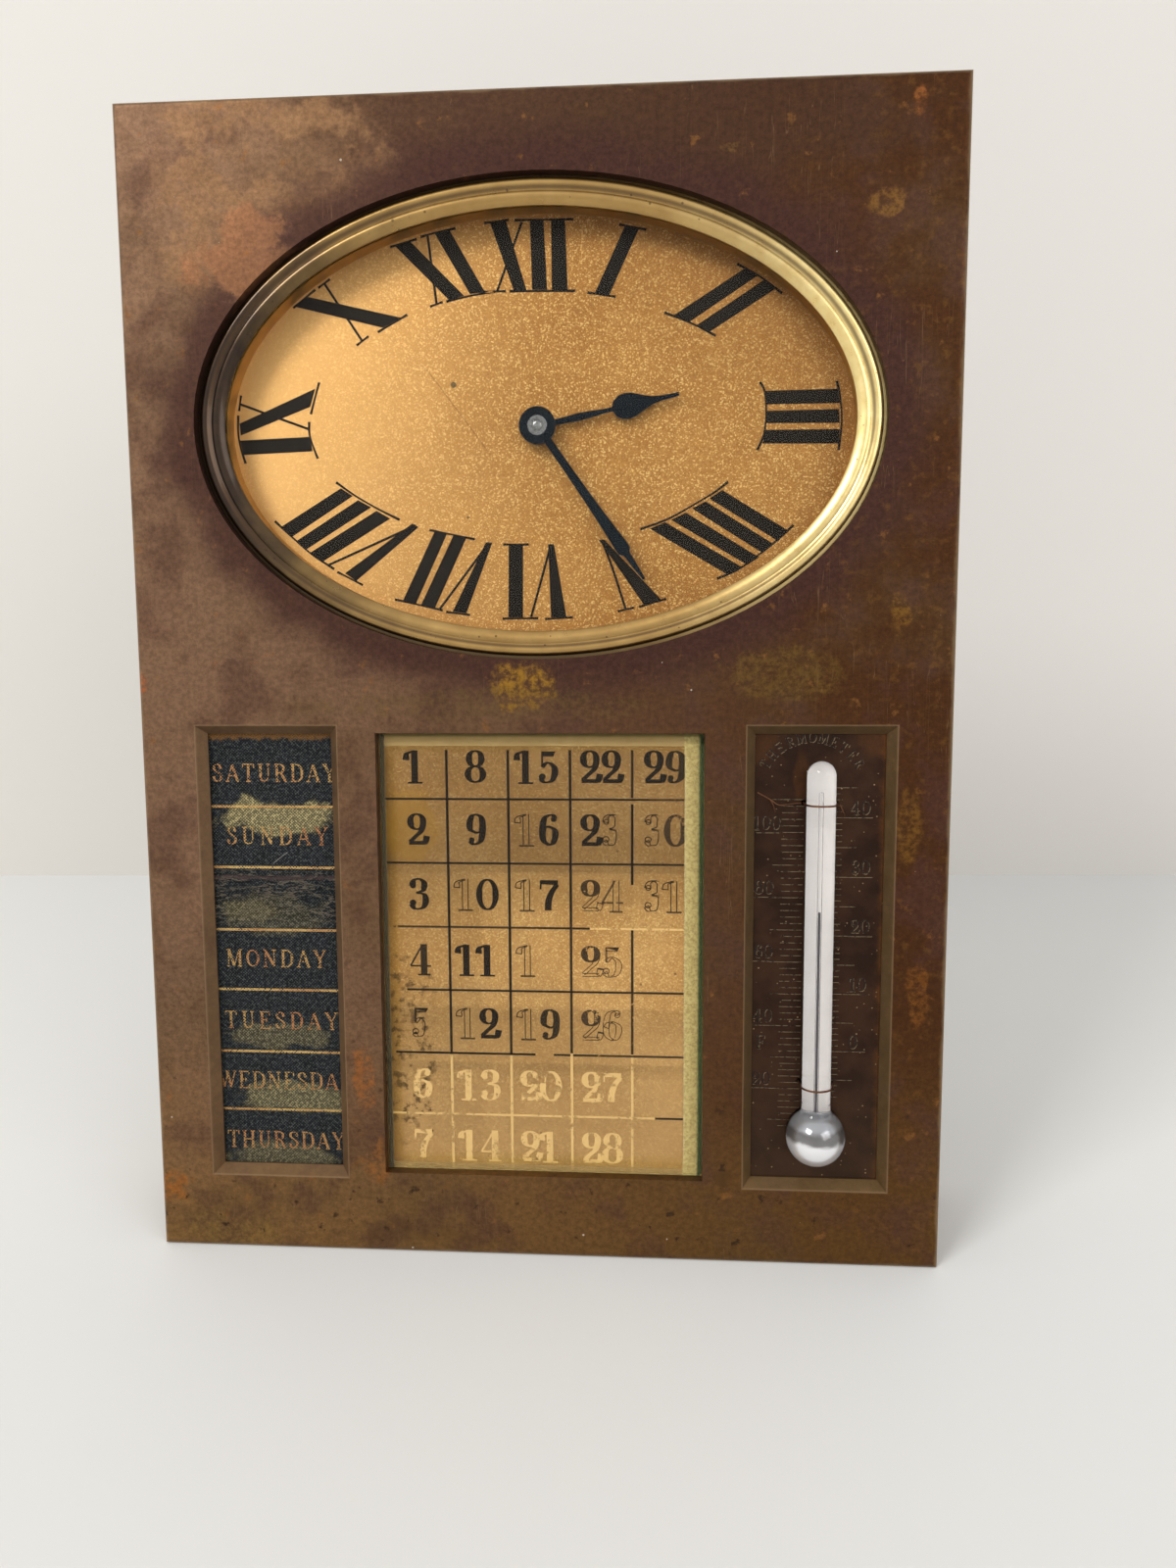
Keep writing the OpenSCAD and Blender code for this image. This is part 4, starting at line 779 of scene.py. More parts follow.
# Strokes of the dial numerals in millimetres from the middle of the dial: thick, thin, and their serifs.
NUMERALS = {
    "XII": ("-7.29 30.97 -4.79 31.18 -1.71 20.8 -3.7 20.77, -1.08 31.34 1.02 31.28 1.51 20.78 -0.83 20.84,"
         " 2.19 31.24 4.35 31.18 4.72 20.64 2.24 20.7",
         "-2.33 30.89 -6.26 20.83",
         "-8.17 30.91 -4.37 31.28, -3.48 31.19 5.66 31.08, -8.32 20.7 -4.94 20.73, -4.34 20.71 5.88 20.51"),
    "I": ("13.59 29.91 15.75 29.48 11.12 19.7 8.94 20.17",
         "",
         "12.67 30.11 16.85 29.22, 7.78 20.2 12.14 19.45"),
    "II": ("31.84 23.11 33.91 22.06 23.53 15.47 21.12 16.53, 34.82 21.38 36.55 20.01 26.66 13.94 24.7"
         " 14.99",
         "",
         "30.69 23.85 34.3 21.82 37.59 19.33, 19.65 16.93 23.73 15.29 27.55 13.31"),
    "III": ("35.15 4.92 46.24 5.04 46.63 2.89 35.32 2.89, 35.41 1.92 46.52 2 46.68 -0.09 35.43 0.07, 35.33"
         " -0.94 46.7 -1 46.52 -3.18 34.9 -2.98",
         "",
         "34.37 6.27 35.15 4.81 35.41 1.65 35.11 -1.52 34.1 -3.99, 46.1 6.19 46.6 4.12 46.96 0.98 46.84"
         " -1.72 46.54 -4.2"),
    "IIII": ("28.74 -9.97 39.05 -16.3 37.51 -17.93 26.72 -11.22, 26.17 -11.66 36.86 -18.37 35.12 -19.73"
         " 24.04 -12.73, 23.12 -13.35 34.59 -20.36 32.75 -21.53 20.79 -14.43, 19.87 -14.78 32 -21.89 29.61"
         " -22.98 17.43 -15.76",
         "",
         "15.94 -15.84 20.42 -14.24 25.06 -11.74 27.64 -10.22 29.66 -8.71, 28.02 -23.62 31.26 -22.26 34.39"
         " -20.07 36.96 -18.09 39.85 -15.47"),
    "V": ("9.38 -17.39 10.31 -17.4 19.24 -26.79 16.52 -27.6",
         "9.85 -17.39 11.62 -22.03 13.67 -28.41",
         "12.39 -28.6 14.96 -28.04, 15.76 -27.92 20.09 -26.7"),
    "VI": ("-4.96 -18.04 -2.67 -18.07 -2.79 -29.46 -5.15 -29.45, 1.33 -17.99 2.27 -18 4.19 -29.51 1.71"
         " -29.49",
         "1.8 -17.99 -1.49 -29.45",
         "-5.87 -17.96 -1.75 -18, -6.1 -29.63 -0.33 -29.62, 0.74 -29.75 5.23 -29.51"),
    "VII": ("-16.82 -15.74 -14.87 -16.2 -20.1 -27.19 -22.2 -26.61, -13.81 -16.41 -11.73 -16.82 -17.06"
         " -27.95 -19.3 -27.4, -8.62 -17.57 -7.6 -17.66 -11.93 -28.75 -14.17 -28.48",
         "-8.09 -17.62 -16.27 -28.08",
         "-17.69 -15.55 -10.38 -17.09, -23.52 -26.46 -15.74 -28.25, -15.22 -28.52 -11.34 -29.02"),
    "VIII": ("-31.87 -8.84 -29.98 -10.07 -39.99 -16.31 -41.69 -14.69, -29.14 -10.73 -27.03 -11.88 -37.82"
         " -18.4 -39.43 -17.06, -26.18 -12.44 -24 -13.69 -35.24 -20.4 -37.14 -18.87, -20.43 -14.51 -19.41"
         " -15.07 -29.77 -23.48 -31.59 -22.23",
         "-19.88 -14.81 -34.19 -20.88",
         "-32.63 -7.89 -29.69 -9.97 -26.08 -12.08 -22.46 -13.89, -42.84 -13.85 -40 -16.5 -36.95 -19.16"
         " -33.32 -21.56, -32.85 -22 -28.71 -24.14"),
    "IX": ("-48.07 -1.14 -47.55 -3.4 -36.28 -3 -36.72 -0.75, -48.07 1.49 -47.94 -0.36 -36.47 3.89 -35.57"
         " 6.66",
         "-47.85 4.5 -36.78 0.42",
         "-48.22 2.76 -48.33 0.14 -48.02 -2.21 -47.28 -4.74, -47.64 5.84 -48.05 3.44, -34.89 7.61 -35.62"
         " 5.32 -36.4 2.73, -36.71 1.57 -36.71 -0.46 -36.06 -2.61 -35.47 -4.17"),
    "X": ("-36.59 20.74 -38.55 19.26 -24.45 15.71 -21.59 17.18",
         "-33.57 22.57 -27.87 13.87",
         "-38.7 19.05 -35.08 21.72, -34.6 21.96 -32.68 23.25, -25.28 15.05 -20.51 17.59, -28.7 13.13"
         " -26.77 14.49"),
    "XI": ("-22.15 27.83 -19.86 28.59 -11.51 20.22 -13.91 19.65, -15.99 29.66 -13.6 30.01 -8.19 20.65"
         " -10.58 20.46",
         "-17.06 29.32 -15.87 19.2",
         "-23 27.78 -18.79 28.86, -18.18 29.14 -15.99 29.66 -12.66 30.26, -14.32 19.41 -10.54 20.17 -6.69"
         " 20.71, -16.88 18.71 -14.86 19.38"),
}


def pairs(text):
    row = list(map(float, text.split()))
    return list(zip(row[::2], row[1::2]))


def strokes(text):
    """Strokes parted by commas, each a row of x and y."""
    return [pairs(part) for part in text.split(",") if part]


def line_between(a, b, wide):
    """A straight stroke as a four-cornered outline."""
    along = Vector((b[0] - a[0], b[1] - a[1])).normalized()
    corners = [(a, wide / 2), (b, wide / 2), (b, -wide / 2), (a, -wide / 2)]
    return [(x - along.y * side, y + along.x * side) for (x, y), side in corners]


def rounded_line(points, count):
    """A smooth line through points, count steps between each two."""
    ends = [points[0]] + list(points) + [points[-1]]
    smooth = []
    for i in range(1, len(ends) - 2):
        p0, p1, p2, p3 = (Vector(ends[j]) for j in range(i - 1, i + 3))
        for k in range(count):
            t = k / count
            spot = p1 * 2 + (p2 - p0) * t + (p0 * 2 - p1 * 5 + p2 * 4 - p3) * t * t
            spot = spot + (p1 * 3 - p0 - p2 * 3 + p3) * t * t * t
            smooth.append(spot / 2)
    smooth.append(Vector(ends[-1]))
    return smooth


def ribbon(points, widths):
    """The outline of a stroke that follows points with its own width at each."""
    left = []
    right = []
    last = len(points) - 1
    for i, spot in enumerate(points):
        along = (points[min(i + 1, last)] - points[max(i - 1, 0)]).normalized()
        out = Vector((-along.y, along.x)) * widths[i] / 2
        left.append((spot.x + out.x, spot.y + out.y))
        right.append((spot.x - out.x, spot.y - out.y))
    return left + right[::-1]


# ---------------------------------------------------------------- bezel and dial
# The bezel's section of rolls and grooves: out of the oval, and down from the front.
BEZEL_SECTION = pairs("-0.5 2 -0.5 1.45 -0.65 1.1 -1 0.83 -1.45 0.75 -1.9 0.87 -2.15 1.15 -2.4 1.25"
                      " -2.6 1.15 -2.85 1 -3.3 1.05 -4.1 1.38 -4.4 1.7 -4.4 2.05 -3.2 2.05 -3.2 6.4"
                      " -1.7 6.4 -1.7 2.8 1.8 2.8 1.8 2")
DIAL_DEEP = 6.4
CARD_DEEP = 2.5
CLOTH_DEEP = 2.3
PLATE_DEEP = 2
PIN_DEEP = 4.3
INK_THICK = 0.03
SERIF_WIDE = 0.42
HAIR_WIDE = 0.38


def rolled_bezel():
    """The brass bezel, drawn round the oval from its section."""
    wide, high = OVAL_HALF
    count = 224
    rings = []
    for (x, y), way in zip(around(0, 0, wide, high, count), around(0, 0, high, wide, count)):
        out = Vector(way).normalized()
        rings.append([(x + out.x * off, DIAL_UP + y + out.y * off, -deep) for off, deep in BEZEL_SECTION])
    bezel = smoothed(lay(grid_piece(rings)), 40)
    gathered([bezel], "rolled_bezel", "bezel_brass", stands_for="oval_bezel")


def painted_numerals():
    """Roman numerals as they stand on the dial."""
    layers = defaultdict(list)
    for thick, thin, serifs in NUMERALS.values():
        for i, stroke in enumerate(strokes(thick)):
            layers[i % 2].append(stroke)
        for points in strokes(thin):
            smooth = rounded_line(points, 4)
            layers[2].append(ribbon(smooth, [HAIR_WIDE] * len(smooth)))
        for k, points in enumerate(strokes(serifs)):
            smooth = rounded_line(points, 6)
            last = len(smooth) - 1
            widths = [SERIF_WIDE - 0.14 * math.sin(math.pi * i / last) for i in range(last + 1)]
            layers[3 + k % 2].append(ribbon(smooth, widths))
    made = stamped(shifted(layers, 0, DIAL_UP), DIAL_DEEP, INK_THICK)
    gathered(made, "dial_numerals", "numeral_black")


# ---------------------------------------------------------------- drawn letters
# Each glyph is its width and its strokes in hundredths of its height. T is a thick straight stroke, t a thin
# one, c a curve whose width follows its slope, o an oval (middle, radii), b a ball, w a closed wedge,
# s a thin bar and h a heavy bar (x from, x to, height).
GLYPHS = {
    "0": (62, "o 31 50 24 46.5"),
    "1": (50, "T 27 98 27 2, c 2 70 6 88 27 96.5, s 6 50 0"),
    "2": (62, "o 30 73 19 23.5, c 49 66 42 44 26 27 9 10, b 15 66 8, h 6 54 7, c 52 5 56 13 59 29"),
    "3": (62, "c 12 74 18 92 34 97 48 84 44 62 24 53, c 24 53 47 48 52 26 42 6 20 3 9 18, b 15 76 9, b 14"
         " 22 10"),
    "4": (66, "T 43 98 43 2, t 40 97 3 29, s 2 64 28, s 24 62 0"),
    "5": (60, "w 13 96 53 96 46 82 13 82, t 14 95 14 48, c 14 50 30 63 48 50 50 28 40 7 20 3 9 16, b 14 20"
         " 10"),
    "6": (62, "c 31 61 48 50 50 28 42 8 30 3.5, c 50 84 40 96.5 20 86 13 50 16 18 31 3.5, c 13 42 20 56 32"
         " 61, b 46 83 8.5"),
    "7": (60, "w 6 97 57 97 57 82 6 84, t 7 96 6 68, c 55 84 38 58 29 30 28 2"),
    "8": (62, "o 31 74 18 22.5, o 31 27 22 24"),
    "9": (62, "c 31 39 14 50 12 72 20 92 32 96.5, c 32 96.5 46 86 50 55 44 16 24 3.5 13 16, c 50 58 43 44"
         " 31 39, b 17 17 8.5"),
    "A": (78, "t 8 2 38 99, T 38 97 68 2, t 18 33 55 33, s -3 20 0, s 54 80 0"),
    "D": (78, "T 16 98 16 2, s 2 34 100, s 2 34 0, c 24 98.5 48 96 66 76 69 50 66 24 48 4 24 1.5"),
    "E": (68, "T 16 98 16 2, s 2 60 100, s 16 42 52, s 2 64 0, t 60 100 61 78, t 42 64 42 40, t 64 24 63 0"),
    "F": (64, "T 16 98 16 2, s 2 58 100, s 16 42 50, s 2 32 0, t 58 100 59 78, t 42 62 42 38"),
    "H": (82, "T 16 98 16 2, T 64 98 64 2, s 16 64 50, s 2 30 100, s 50 78 100, s 2 30 0, s 50 78 0"),
    "M": (98, "t 14 98 13 2, T 17 98 46 4, t 46 4 78 98, T 81 98 81 2, s 2 22 100, s 76 95 100, s 2 26 0,"
         " s 68 95 0"),
    "N": (84, "t 15 98 15 2, T 16 97 66 3, t 67 98 67 2, s 2 22 100, s 54 80 100, s 2 28 0"),
    "O": (80, "o 40 50 32 47"),
    "R": (76, "T 16 98 16 2, s 2 34 100, s 2 32 0, c 24 98.5 42 97 54 86 55 70 44 54 20 51, T 40 52 64 4,"
         " s 60 76 0"),
    "S": (62, "c 50 72 44 93 28 98.5 12 88 12 70 28 56 46 42 52 24 42 6 26 1 12 10 7 30"),
    "T": (74, "T 37 98 37 2, s 4 70 100, s 22 52 0, t 5 100 4 78, t 69 100 70 78"),
    "U": (80, "c 17 98 17 60 17 30 22 10 38 2, s 2 32 100, t 36 2 56 10, t 55 9 63 30, t 63 28 63 98, s 52"
         " 76 100"),
    "W": (108, "T 10 98 34 3, t 34 3 56 98, T 52 98 74 3, t 74 3 98 98, s 0 24 100, s 42 66 100, s 88 106"
         " 100"),
    "Y": (76, "T 10 98 38 45, t 66 98 38 45, T 38 48 38 2, s -2 24 100, s 54 78 100, s 24 52 0"),
}


def pen_widths(points, thick, thin, closed=False):
    """Pen pressure: thick where the stroke runs up and down, thin where it runs across."""
    widths = []
    last = len(points) - 1
    for i in range(len(points)):
        along = points[min(i + 1, last)] - points[max(i - 1, 0)]
        if closed:
            along = points[(i + 1) % len(points)] - points[i - 1]
        steep = abs(along.y) / max(along.length, 1e-9)
        widths.append(thin + (thick - thin) * steep ** 2.2)
    return widths


def oval_stroke(x, y, wide, high, thick, thin):
    """The outer and the inner outline of an oval drawn with a pen."""
    middle = Vector((x, y))
    ring = [Vector(spot) for spot in around(x, y, wide, high, 28)]
    widths = pen_widths(ring, thick, thin, closed=True)
    return [[tuple(middle + (p - middle) * (1 + side * w / 2 / (p - middle).length))
             for p, w in zip(ring, widths)] for side in (1, -1)]


def glyph_outlines(sign, thick, thin):
    """The closed outlines of each stroke of one glyph in unit size."""
    found = []
    for part in GLYPHS[sign][1].split(","):
        kind, *data = part.split()
        data = [float(value) / 100 for value in data]
        spots = list(zip(data[::2], data[1::2]))
        if kind in "Tt":
            found.append([line_between(*spots, thick if kind == "T" else thin)])
        elif kind in "sh":
            start, stop, up = data
            found.append([line_between((start, up), (stop, up), thin if kind == "s" else thick * 0.62)])
        elif kind == "w":
            found.append([spots])
        elif kind == "b":
            x, y, radius = data
            found.append([around(x, y, radius, radius, 14)])
        elif kind == "c":
            smooth = rounded_line(spots, 5)
            found.append([ribbon(smooth, pen_widths(smooth, thick, thin))])
        else:
            found.append(oval_stroke(*data, thick, thin))
    return found


def hollowed(outline, rim):
    """A ring just inside an outline, for a figure whose middle has rubbed away."""
    points = [Vector(p) for p in outline]
    area = sum(a.x * b.y - b.x * a.y for a, b in zip(points, points[1:] + points[:1]))
    side = 1 if area > 0 else -1
    inner = []
    for i, spot in enumerate(points):
        along = (points[(i + 1) % len(points)] - points[i - 1]).normalized()
        inner.append(tuple(spot + Vector((-along.y, along.x)) * rim * side))
    return [outline, inner]


def set_sign(layers, sign, x, y, size, thick, thin, hollow=0, turn=0, stretch=1, first=0):
    """Adds one glyph at (x, y), its lower left corner, to the layers of outlines."""
    swing = Matrix.Rotation(turn, 2)
    for i, group in enumerate(glyph_outlines(sign, thick, thin)):
        placed = []
        for outline in group:
            spots = [swing @ Vector((px * size * stretch, py * size)) for px, py in outline]
            placed.append([(x + p.x, y + p.y) for p in spots])
        if hollow and len(placed) == 1:
            placed = hollowed(placed[0], hollow)
        layers[first + i].extend(placed)


def set_word(layers, word, middle, y, size, thick, thin, span=None):
    """Sets a word centred on middle, spread to span when that is given."""
    widths = [GLYPHS[sign][0] / 100 * size for sign in word]
    gap = 0.1 * size if span is None else (span - sum(widths)) / max(len(word) - 1, 1)
    x = middle - (sum(widths) + gap * (len(word) - 1)) / 2
    for sign, wide in zip(word, widths):
        set_sign(layers, sign, x, y, size, thick, thin)
        x += wide + gap


# ---------------------------------------------------------------- date card
COLUMNS = (-19.8, -10.2, -0.2, 9.9, 20)
ROWS = (80.9, 70.8, 60.2, 49.4, 38.8, 28.4, 18.1)
BETWEEN_COLUMNS = (-14.85, -4.97, 4.95, 14.8)
BETWEEN_ROWS = (75.7, 65.3, 54.8, 44.3, 33.7, 23.3, 13)
HALF_SHIFT = {"": -1.7, "a": -3.45, "b": -0.05}
# By how much of the ink is left: each figure with its column and row, a or b for the two halves of a number,
# and each ruled line with its way, its rank and its two ends.
FIGURES = {
    "full": "100 810 120a 520b 230a 230b 201 911 621b 231a 302 012b 722b 113a 113b 214b 240a",
    "worn": "940b 341a 331b 112a 122a 342a 142b 403 114a 124a 924b 504 121a 123a",
    "thin": "041b 232a 432b 233a 533b 234a 634b",
    "ghost": "605 115a 315b 225a 025b 235a 735b 706 116a 416b 226a 126b 236a 836b",
}
RULES = {
    "full": "up 0 38 83.5, up 1 38 83.5, up 2 55.5 83.5, up 3 62 75, level 0 -25 17.5, level 1 -25 -3,"
            " level 3 -22 6, level 4 -24 -1",
    "worn": "up 0 33.5 38, up 1 33.5 38, up 2 34 55.5, up 3 44.5 55, up 3 76 83.5, level 1 -3 25, level 2"
            " 0.5 8, level 3 6 24, level 4 2 9, level 5 18.5 25.5",
    "thin": "level 0 17.5 25, level 2 -24 0.5, level 4 9 25, up 3 34 44.5",
    "ghost": "up 0 14 33.5, up 1 14 33.5, up 2 14 34, up 3 14 34, level 5 -25 18.5, level 6 -25 25, level"
             " 2 8 25",
}


def printed_dates():
    """Day numbers 1 to 31 in five columns, with the card's ruled lines, from full black to rubbed away."""
    finishes = {"full": "ink_full", "worn": "ink_worn", "thin": "ink_thin", "ghost": "ghost_gilt"}
    for state, finish in finishes.items():
        layers = defaultdict(list)
        for sign, column, row, *half in FIGURES[state].split():
            half = "".join(half)
            hollow = 0.16 if state == "worn" and sign in "135" else 0
            hollow = 0.13 if state == "thin" else hollow
            x = COLUMNS[int(column)] + HALF_SHIFT[half]
            set_sign(layers, sign, x, ROWS[int(row)] - 2.6, 5.2, 0.195, 0.055, hollow, stretch=1.06,
                     first=12 if half == "b" else 0)
        for rule in RULES[state].split(","):
            way, which, start, stop = rule.split()
            ends = (float(start), float(stop))
            if way == "up":
                a, b = ((BETWEEN_COLUMNS[int(which)], end) for end in ends)
                layers[30].append(line_between(a, b, 0.42))
            else:
                a, b = ((end, BETWEEN_ROWS[int(which)]) for end in ends)
                layers[31].append(line_between(a, b, 0.34))
        gathered(stamped(layers, CARD_DEEP, 0.02), "date_" + state, finish)


# ---------------------------------------------------------------- day belt
BELT_MID = -43.5
CLOTH_WIDE = 24.5
CLOTH_THICK = 0.35
ROLLER_LOW = 10
ROLLER_HIGH = 90.3
ROLLER_DEEP = 6.25
LOOP = 3.775
RUN = ROLLER_HIGH - ROLLER_LOW
ARC = math.pi * LOOP
CLOTH_LONG = 2 * RUN + 2 * math.pi * LOOP


def loop_spot(way):
    """A place on the middle of the cloth, way millimetres along the loop, upwards from the lower roller."""
    if way < RUN:
        return ROLLER_LOW + way, ROLLER_DEEP - LOOP
    if way < RUN + ARC:
        angle = (way - RUN) / LOOP
        return ROLLER_HIGH + LOOP * math.sin(angle), ROLLER_DEEP - LOOP * math.cos(angle)
    if way < 2 * RUN + ARC:
        return ROLLER_HIGH - (way - RUN - ARC), ROLLER_DEEP + LOOP
    angle = (way - 2 * RUN - ARC) / LOOP
    return ROLLER_LOW - LOOP * math.sin(angle), ROLLER_DEEP + LOOP * math.cos(angle)


def cloth_way(up, deep):
    """How far along the loop a place on the cloth is."""
    if ROLLER_LOW <= up <= ROLLER_HIGH:
        return up - ROLLER_LOW if deep < ROLLER_DEEP else RUN + ARC + (ROLLER_HIGH - up)
    if up > ROLLER_HIGH:
        return RUN + LOOP * math.atan2(up - ROLLER_HIGH, ROLLER_DEEP - deep)
    return 2 * RUN + ARC + LOOP * math.atan2(ROLLER_LOW - up, deep - ROLLER_DEEP)


def cloth_relief(x, up):
    """How far the front of the cloth stands out: rucks round the torn row, and a soft cockle elsewhere."""
    ruck = math.exp(-((up - 58.6) / 3.6) ** 2)
    spot = Vector((x * 0.22, up * 0.5, 0.3))
    fold = noise.noise(spot) * 0.24 + noise.noise(spot * 2.6) * 0.12
    crease = -0.22 * math.exp(-((up - 59.2 - 0.9 * noise.noise(Vector((x * 0.25, 4, 0)))) / 0.45) ** 2)
    cockle = 0.035 * noise.noise(Vector((x * 0.1, up * 0.12, 2)))
    return max(-0.3, min(0.17, ruck * (fold + crease) + cockle))


def woven_belt():
    """The endless cloth belt over both rollers, with its creases, its own map and its thickness."""
    ways = [RUN * i / 170 for i in range(170)]
    ways += [RUN + ARC * i / 20 for i in range(20)]
    ways += [RUN + ARC + RUN * i / 16 for i in range(16)]
    ways += [2 * RUN + ARC + ARC * i / 20 for i in range(20)]
    across = [BELT_MID - CLOTH_WIDE / 2 + CLOTH_WIDE * i / 48 for i in range(49)]
    rings = []
    for way in ways:
        up, deep = loop_spot(way)
        front = max(0, min(1, (way - 1) / 3, (RUN - 1 - way) / 3))
        rings.append([(x, up, -deep + front * cloth_relief(x, up)) for x in across])
    belt = grid_piece(rings, closed_round=False)
    map_cloth(belt.data)
    lay(belt)
    belt.data.update()
    thick = belt.modifiers.new("thickness", "SOLIDIFY")
    thick.thickness = CLOTH_THICK * MM
    thick.offset = 0
    alone(belt)
    bpy.ops.object.modifier_apply(modifier="thickness")
    smoothed(belt, 50)
    gathered([belt], "woven_belt", "belt_cloth", stands_for="day_belt")


def map_cloth(mesh):
    """Lays the cloth out flat in a map in metres: across from its middle, along from the lower roller."""
    mesh.uv_layers.new(name="cloth")
    for other in [layer for layer in mesh.uv_layers if layer.name != "cloth"]:
        mesh.uv_layers.remove(other)
    flat = mesh.uv_layers["cloth"].data
    for face in mesh.polygons:
        spots = [mesh.vertices[mesh.loops[corner].vertex_index].co for corner in face.loop_indices]
        ways = [cloth_way(spot.y, -spot.z) for spot in spots]
        if max(ways) - min(ways) > CLOTH_LONG / 2:
            ways = [way + CLOTH_LONG if way < CLOTH_LONG / 2 else way for way in ways]
        for corner, spot, way in zip(face.loop_indices, spots, ways):
            flat[corner].uv = ((spot.x - BELT_MID) * MM, way * MM)


# Each word with its height on the belt, its length and its shift from the middle; then the rules' heights.
DAYS = (("SATURDAY", 79.8, 20.4, 0.4), ("SUNDAY", 69.5, 16.8, 0.6), ("MONDAY", 49.1, 16.8, -0.3),
        ("TUESDAY", 38.6, 19.1, 0.2), ("WEDNESDAY", 28.3, 22.8, 0.6), ("THURSDAY", 18, 20, 0.3))
DAY_RULES = (74.3, 64.3, 53.9, 43.8, 33.25, 23.25, 13.1)


def stamped_days():
    """Day names and rules stamped in gold on the front of the belt, following its relief."""
    words = defaultdict(list)
    for word, up, span, shift in DAYS:
        set_word(words, word, BELT_MID + shift, up - 1.4, 2.8, 0.15, 0.07, span)
    rules = defaultdict(list)
    for up in DAY_RULES:
        for i in range(24):
            start = BELT_MID - 12 + i
            rules[i % 2].append(line_between((start, up), (start + 1, up), 0.4))
    for layers, name, finish in ((words, "day_names", "gold_foil"), (rules, "day_rules", "gold_rule")):
        piece = gathered(stamped(layers, CLOTH_DEEP, INK_THICK), name, finish)
        for spot in piece.data.vertices:
            local = UPRIGHT @ spot.co
            local.z += cloth_relief(local.x, local.y)
            spot.co = FACE @ local


# ---------------------------------------------------------------- thermometer
TUBE_MIDDLE = (44.1, 0.32)
TUBE_RADIUS = 2.26
TUBE_TOP = 79.9
BULB_UP = 22
BORE_UP = BULB_UP + 4.3


def swept(radius, low, high, count, up=0):
    """Points along an arc between two angles in degrees."""
    turn = [math.radians(low + (high - low) * i / count) for i in range(count + 1)]
    return [(radius * math.cos(angle), up + radius * math.sin(angle)) for angle in turn]


def glass_tube():
    """Glass tube and bulb with their hollow, a white enamel back, and the mercury inside."""
    neck = [(2.6, BULB_UP + 3.98), (2.4, BULB_UP + 4.25), (TUBE_RADIUS, BULB_UP + 4.6)]
    rise = [(TUBE_RADIUS, 27 + 52.9 * i / 30) for i in range(31)]
    skin = swept(4.66, -90, 55.2, 26, BULB_UP) + neck + rise + swept(TUBE_RADIUS, 6, 90, 12, TUBE_TOP)
    outer = turned(skin, TUBE_MIDDLE, 56)
    bore = [(0.3, BORE_UP + 51 * i / 12) for i in range(13)] + [(0, 77.4)]
    inner = turned(swept(4.2, -90, 86, 24, BULB_UP) + bore, TUBE_MIDDLE, 32)
    alone(inner)
    edit_all((bpy.ops.mesh.flip_normals, {}))
    tube = [smoothed(lay(piece), 60) for piece in (outer, inner)]
    gathered(tube, "glass_tube", "tube_glass", stands_for="thermometer_tube")
    thread = [(0.2, BORE_UP + 32.2 * i / 8) for i in range(9)] + [(0, BULB_UP + 36.6)]
    drop = turned(swept(4.24, -90, 86.8, 30, BULB_UP) + thread, TUBE_MIDDLE, 48)
    smoothed(lay(drop), 60)
    gathered([drop], "mercury_fill", "mercury_bulb mercury", stands_for="mercury")
    for face in drop.data.polygons:
        face.material_index = 1 if (UPRIGHT @ face.center).y > BULB_UP + 4.22 else 0
    low, high = 25.6, 80.6
    section = swept(2.3, 200, 340, 24) + swept(2.27, 200, 340, 24)[::-1]
    across, out = TUBE_MIDDLE
    stand = Matrix(((1, 0, 0, across), (0, 0, 1, (low + high) / 2), (0, -1, 0, out), (0, 0, 0, 1)))
    enamel = filled([[(x, -y) for x, y in section]], high - low, FACE @ stand)
    gathered([enamel], "tube_enamel", "tube_white")


# The twisted-off ends of the upper wire tie, lying loose over the scale: across, up, and out of the front.
WIRES = (
    ((41.3, 75.35, -1.9), (40.3, 75.3, -1.85), (38.9, 75.2, -1.3), (37.6, 75.2, -0.9), (36.4, 76, -0.8),
     (34.4, 77.1, -1)),
    ((36.4, 76, -0.8), (36.9, 75, -0.9), (37.2, 73.9, -1.4)),
    ((46.75, 75.4, -1.85), (47.2, 75.1, -1.3), (47.6, 74.3, -1.2), (48, 73.5, -1.5)),
)


def wire_ends():
    lines = [rounded_line(points, 8) for points in WIRES]
    wire = drawn(lines, False, FACE, dimensions="3D", bevel_depth=0.09, bevel_resolution=2,
                 use_fill_caps=True)
    gathered([smoothed(wire, 60)], "wire_ends", "copper_wire")


# The numbers of both scales, Celsius on the right and Fahrenheit on the left: text, middle and height.
SCALE_TEXTS = (("40", 50.4, 73.15), ("30", 50.6, 63.7), ("20", 50.7, 54.2), ("10", 50.5, 44.8),
               ("0", 50, 35.35), ("100", 35.9, 70.7), ("80", 35.6, 60.4), ("60", 35.6, 50),
               ("40", 35.6, 39.5), ("F", 35.4, 35.1), ("20", 35.5, 29.1))


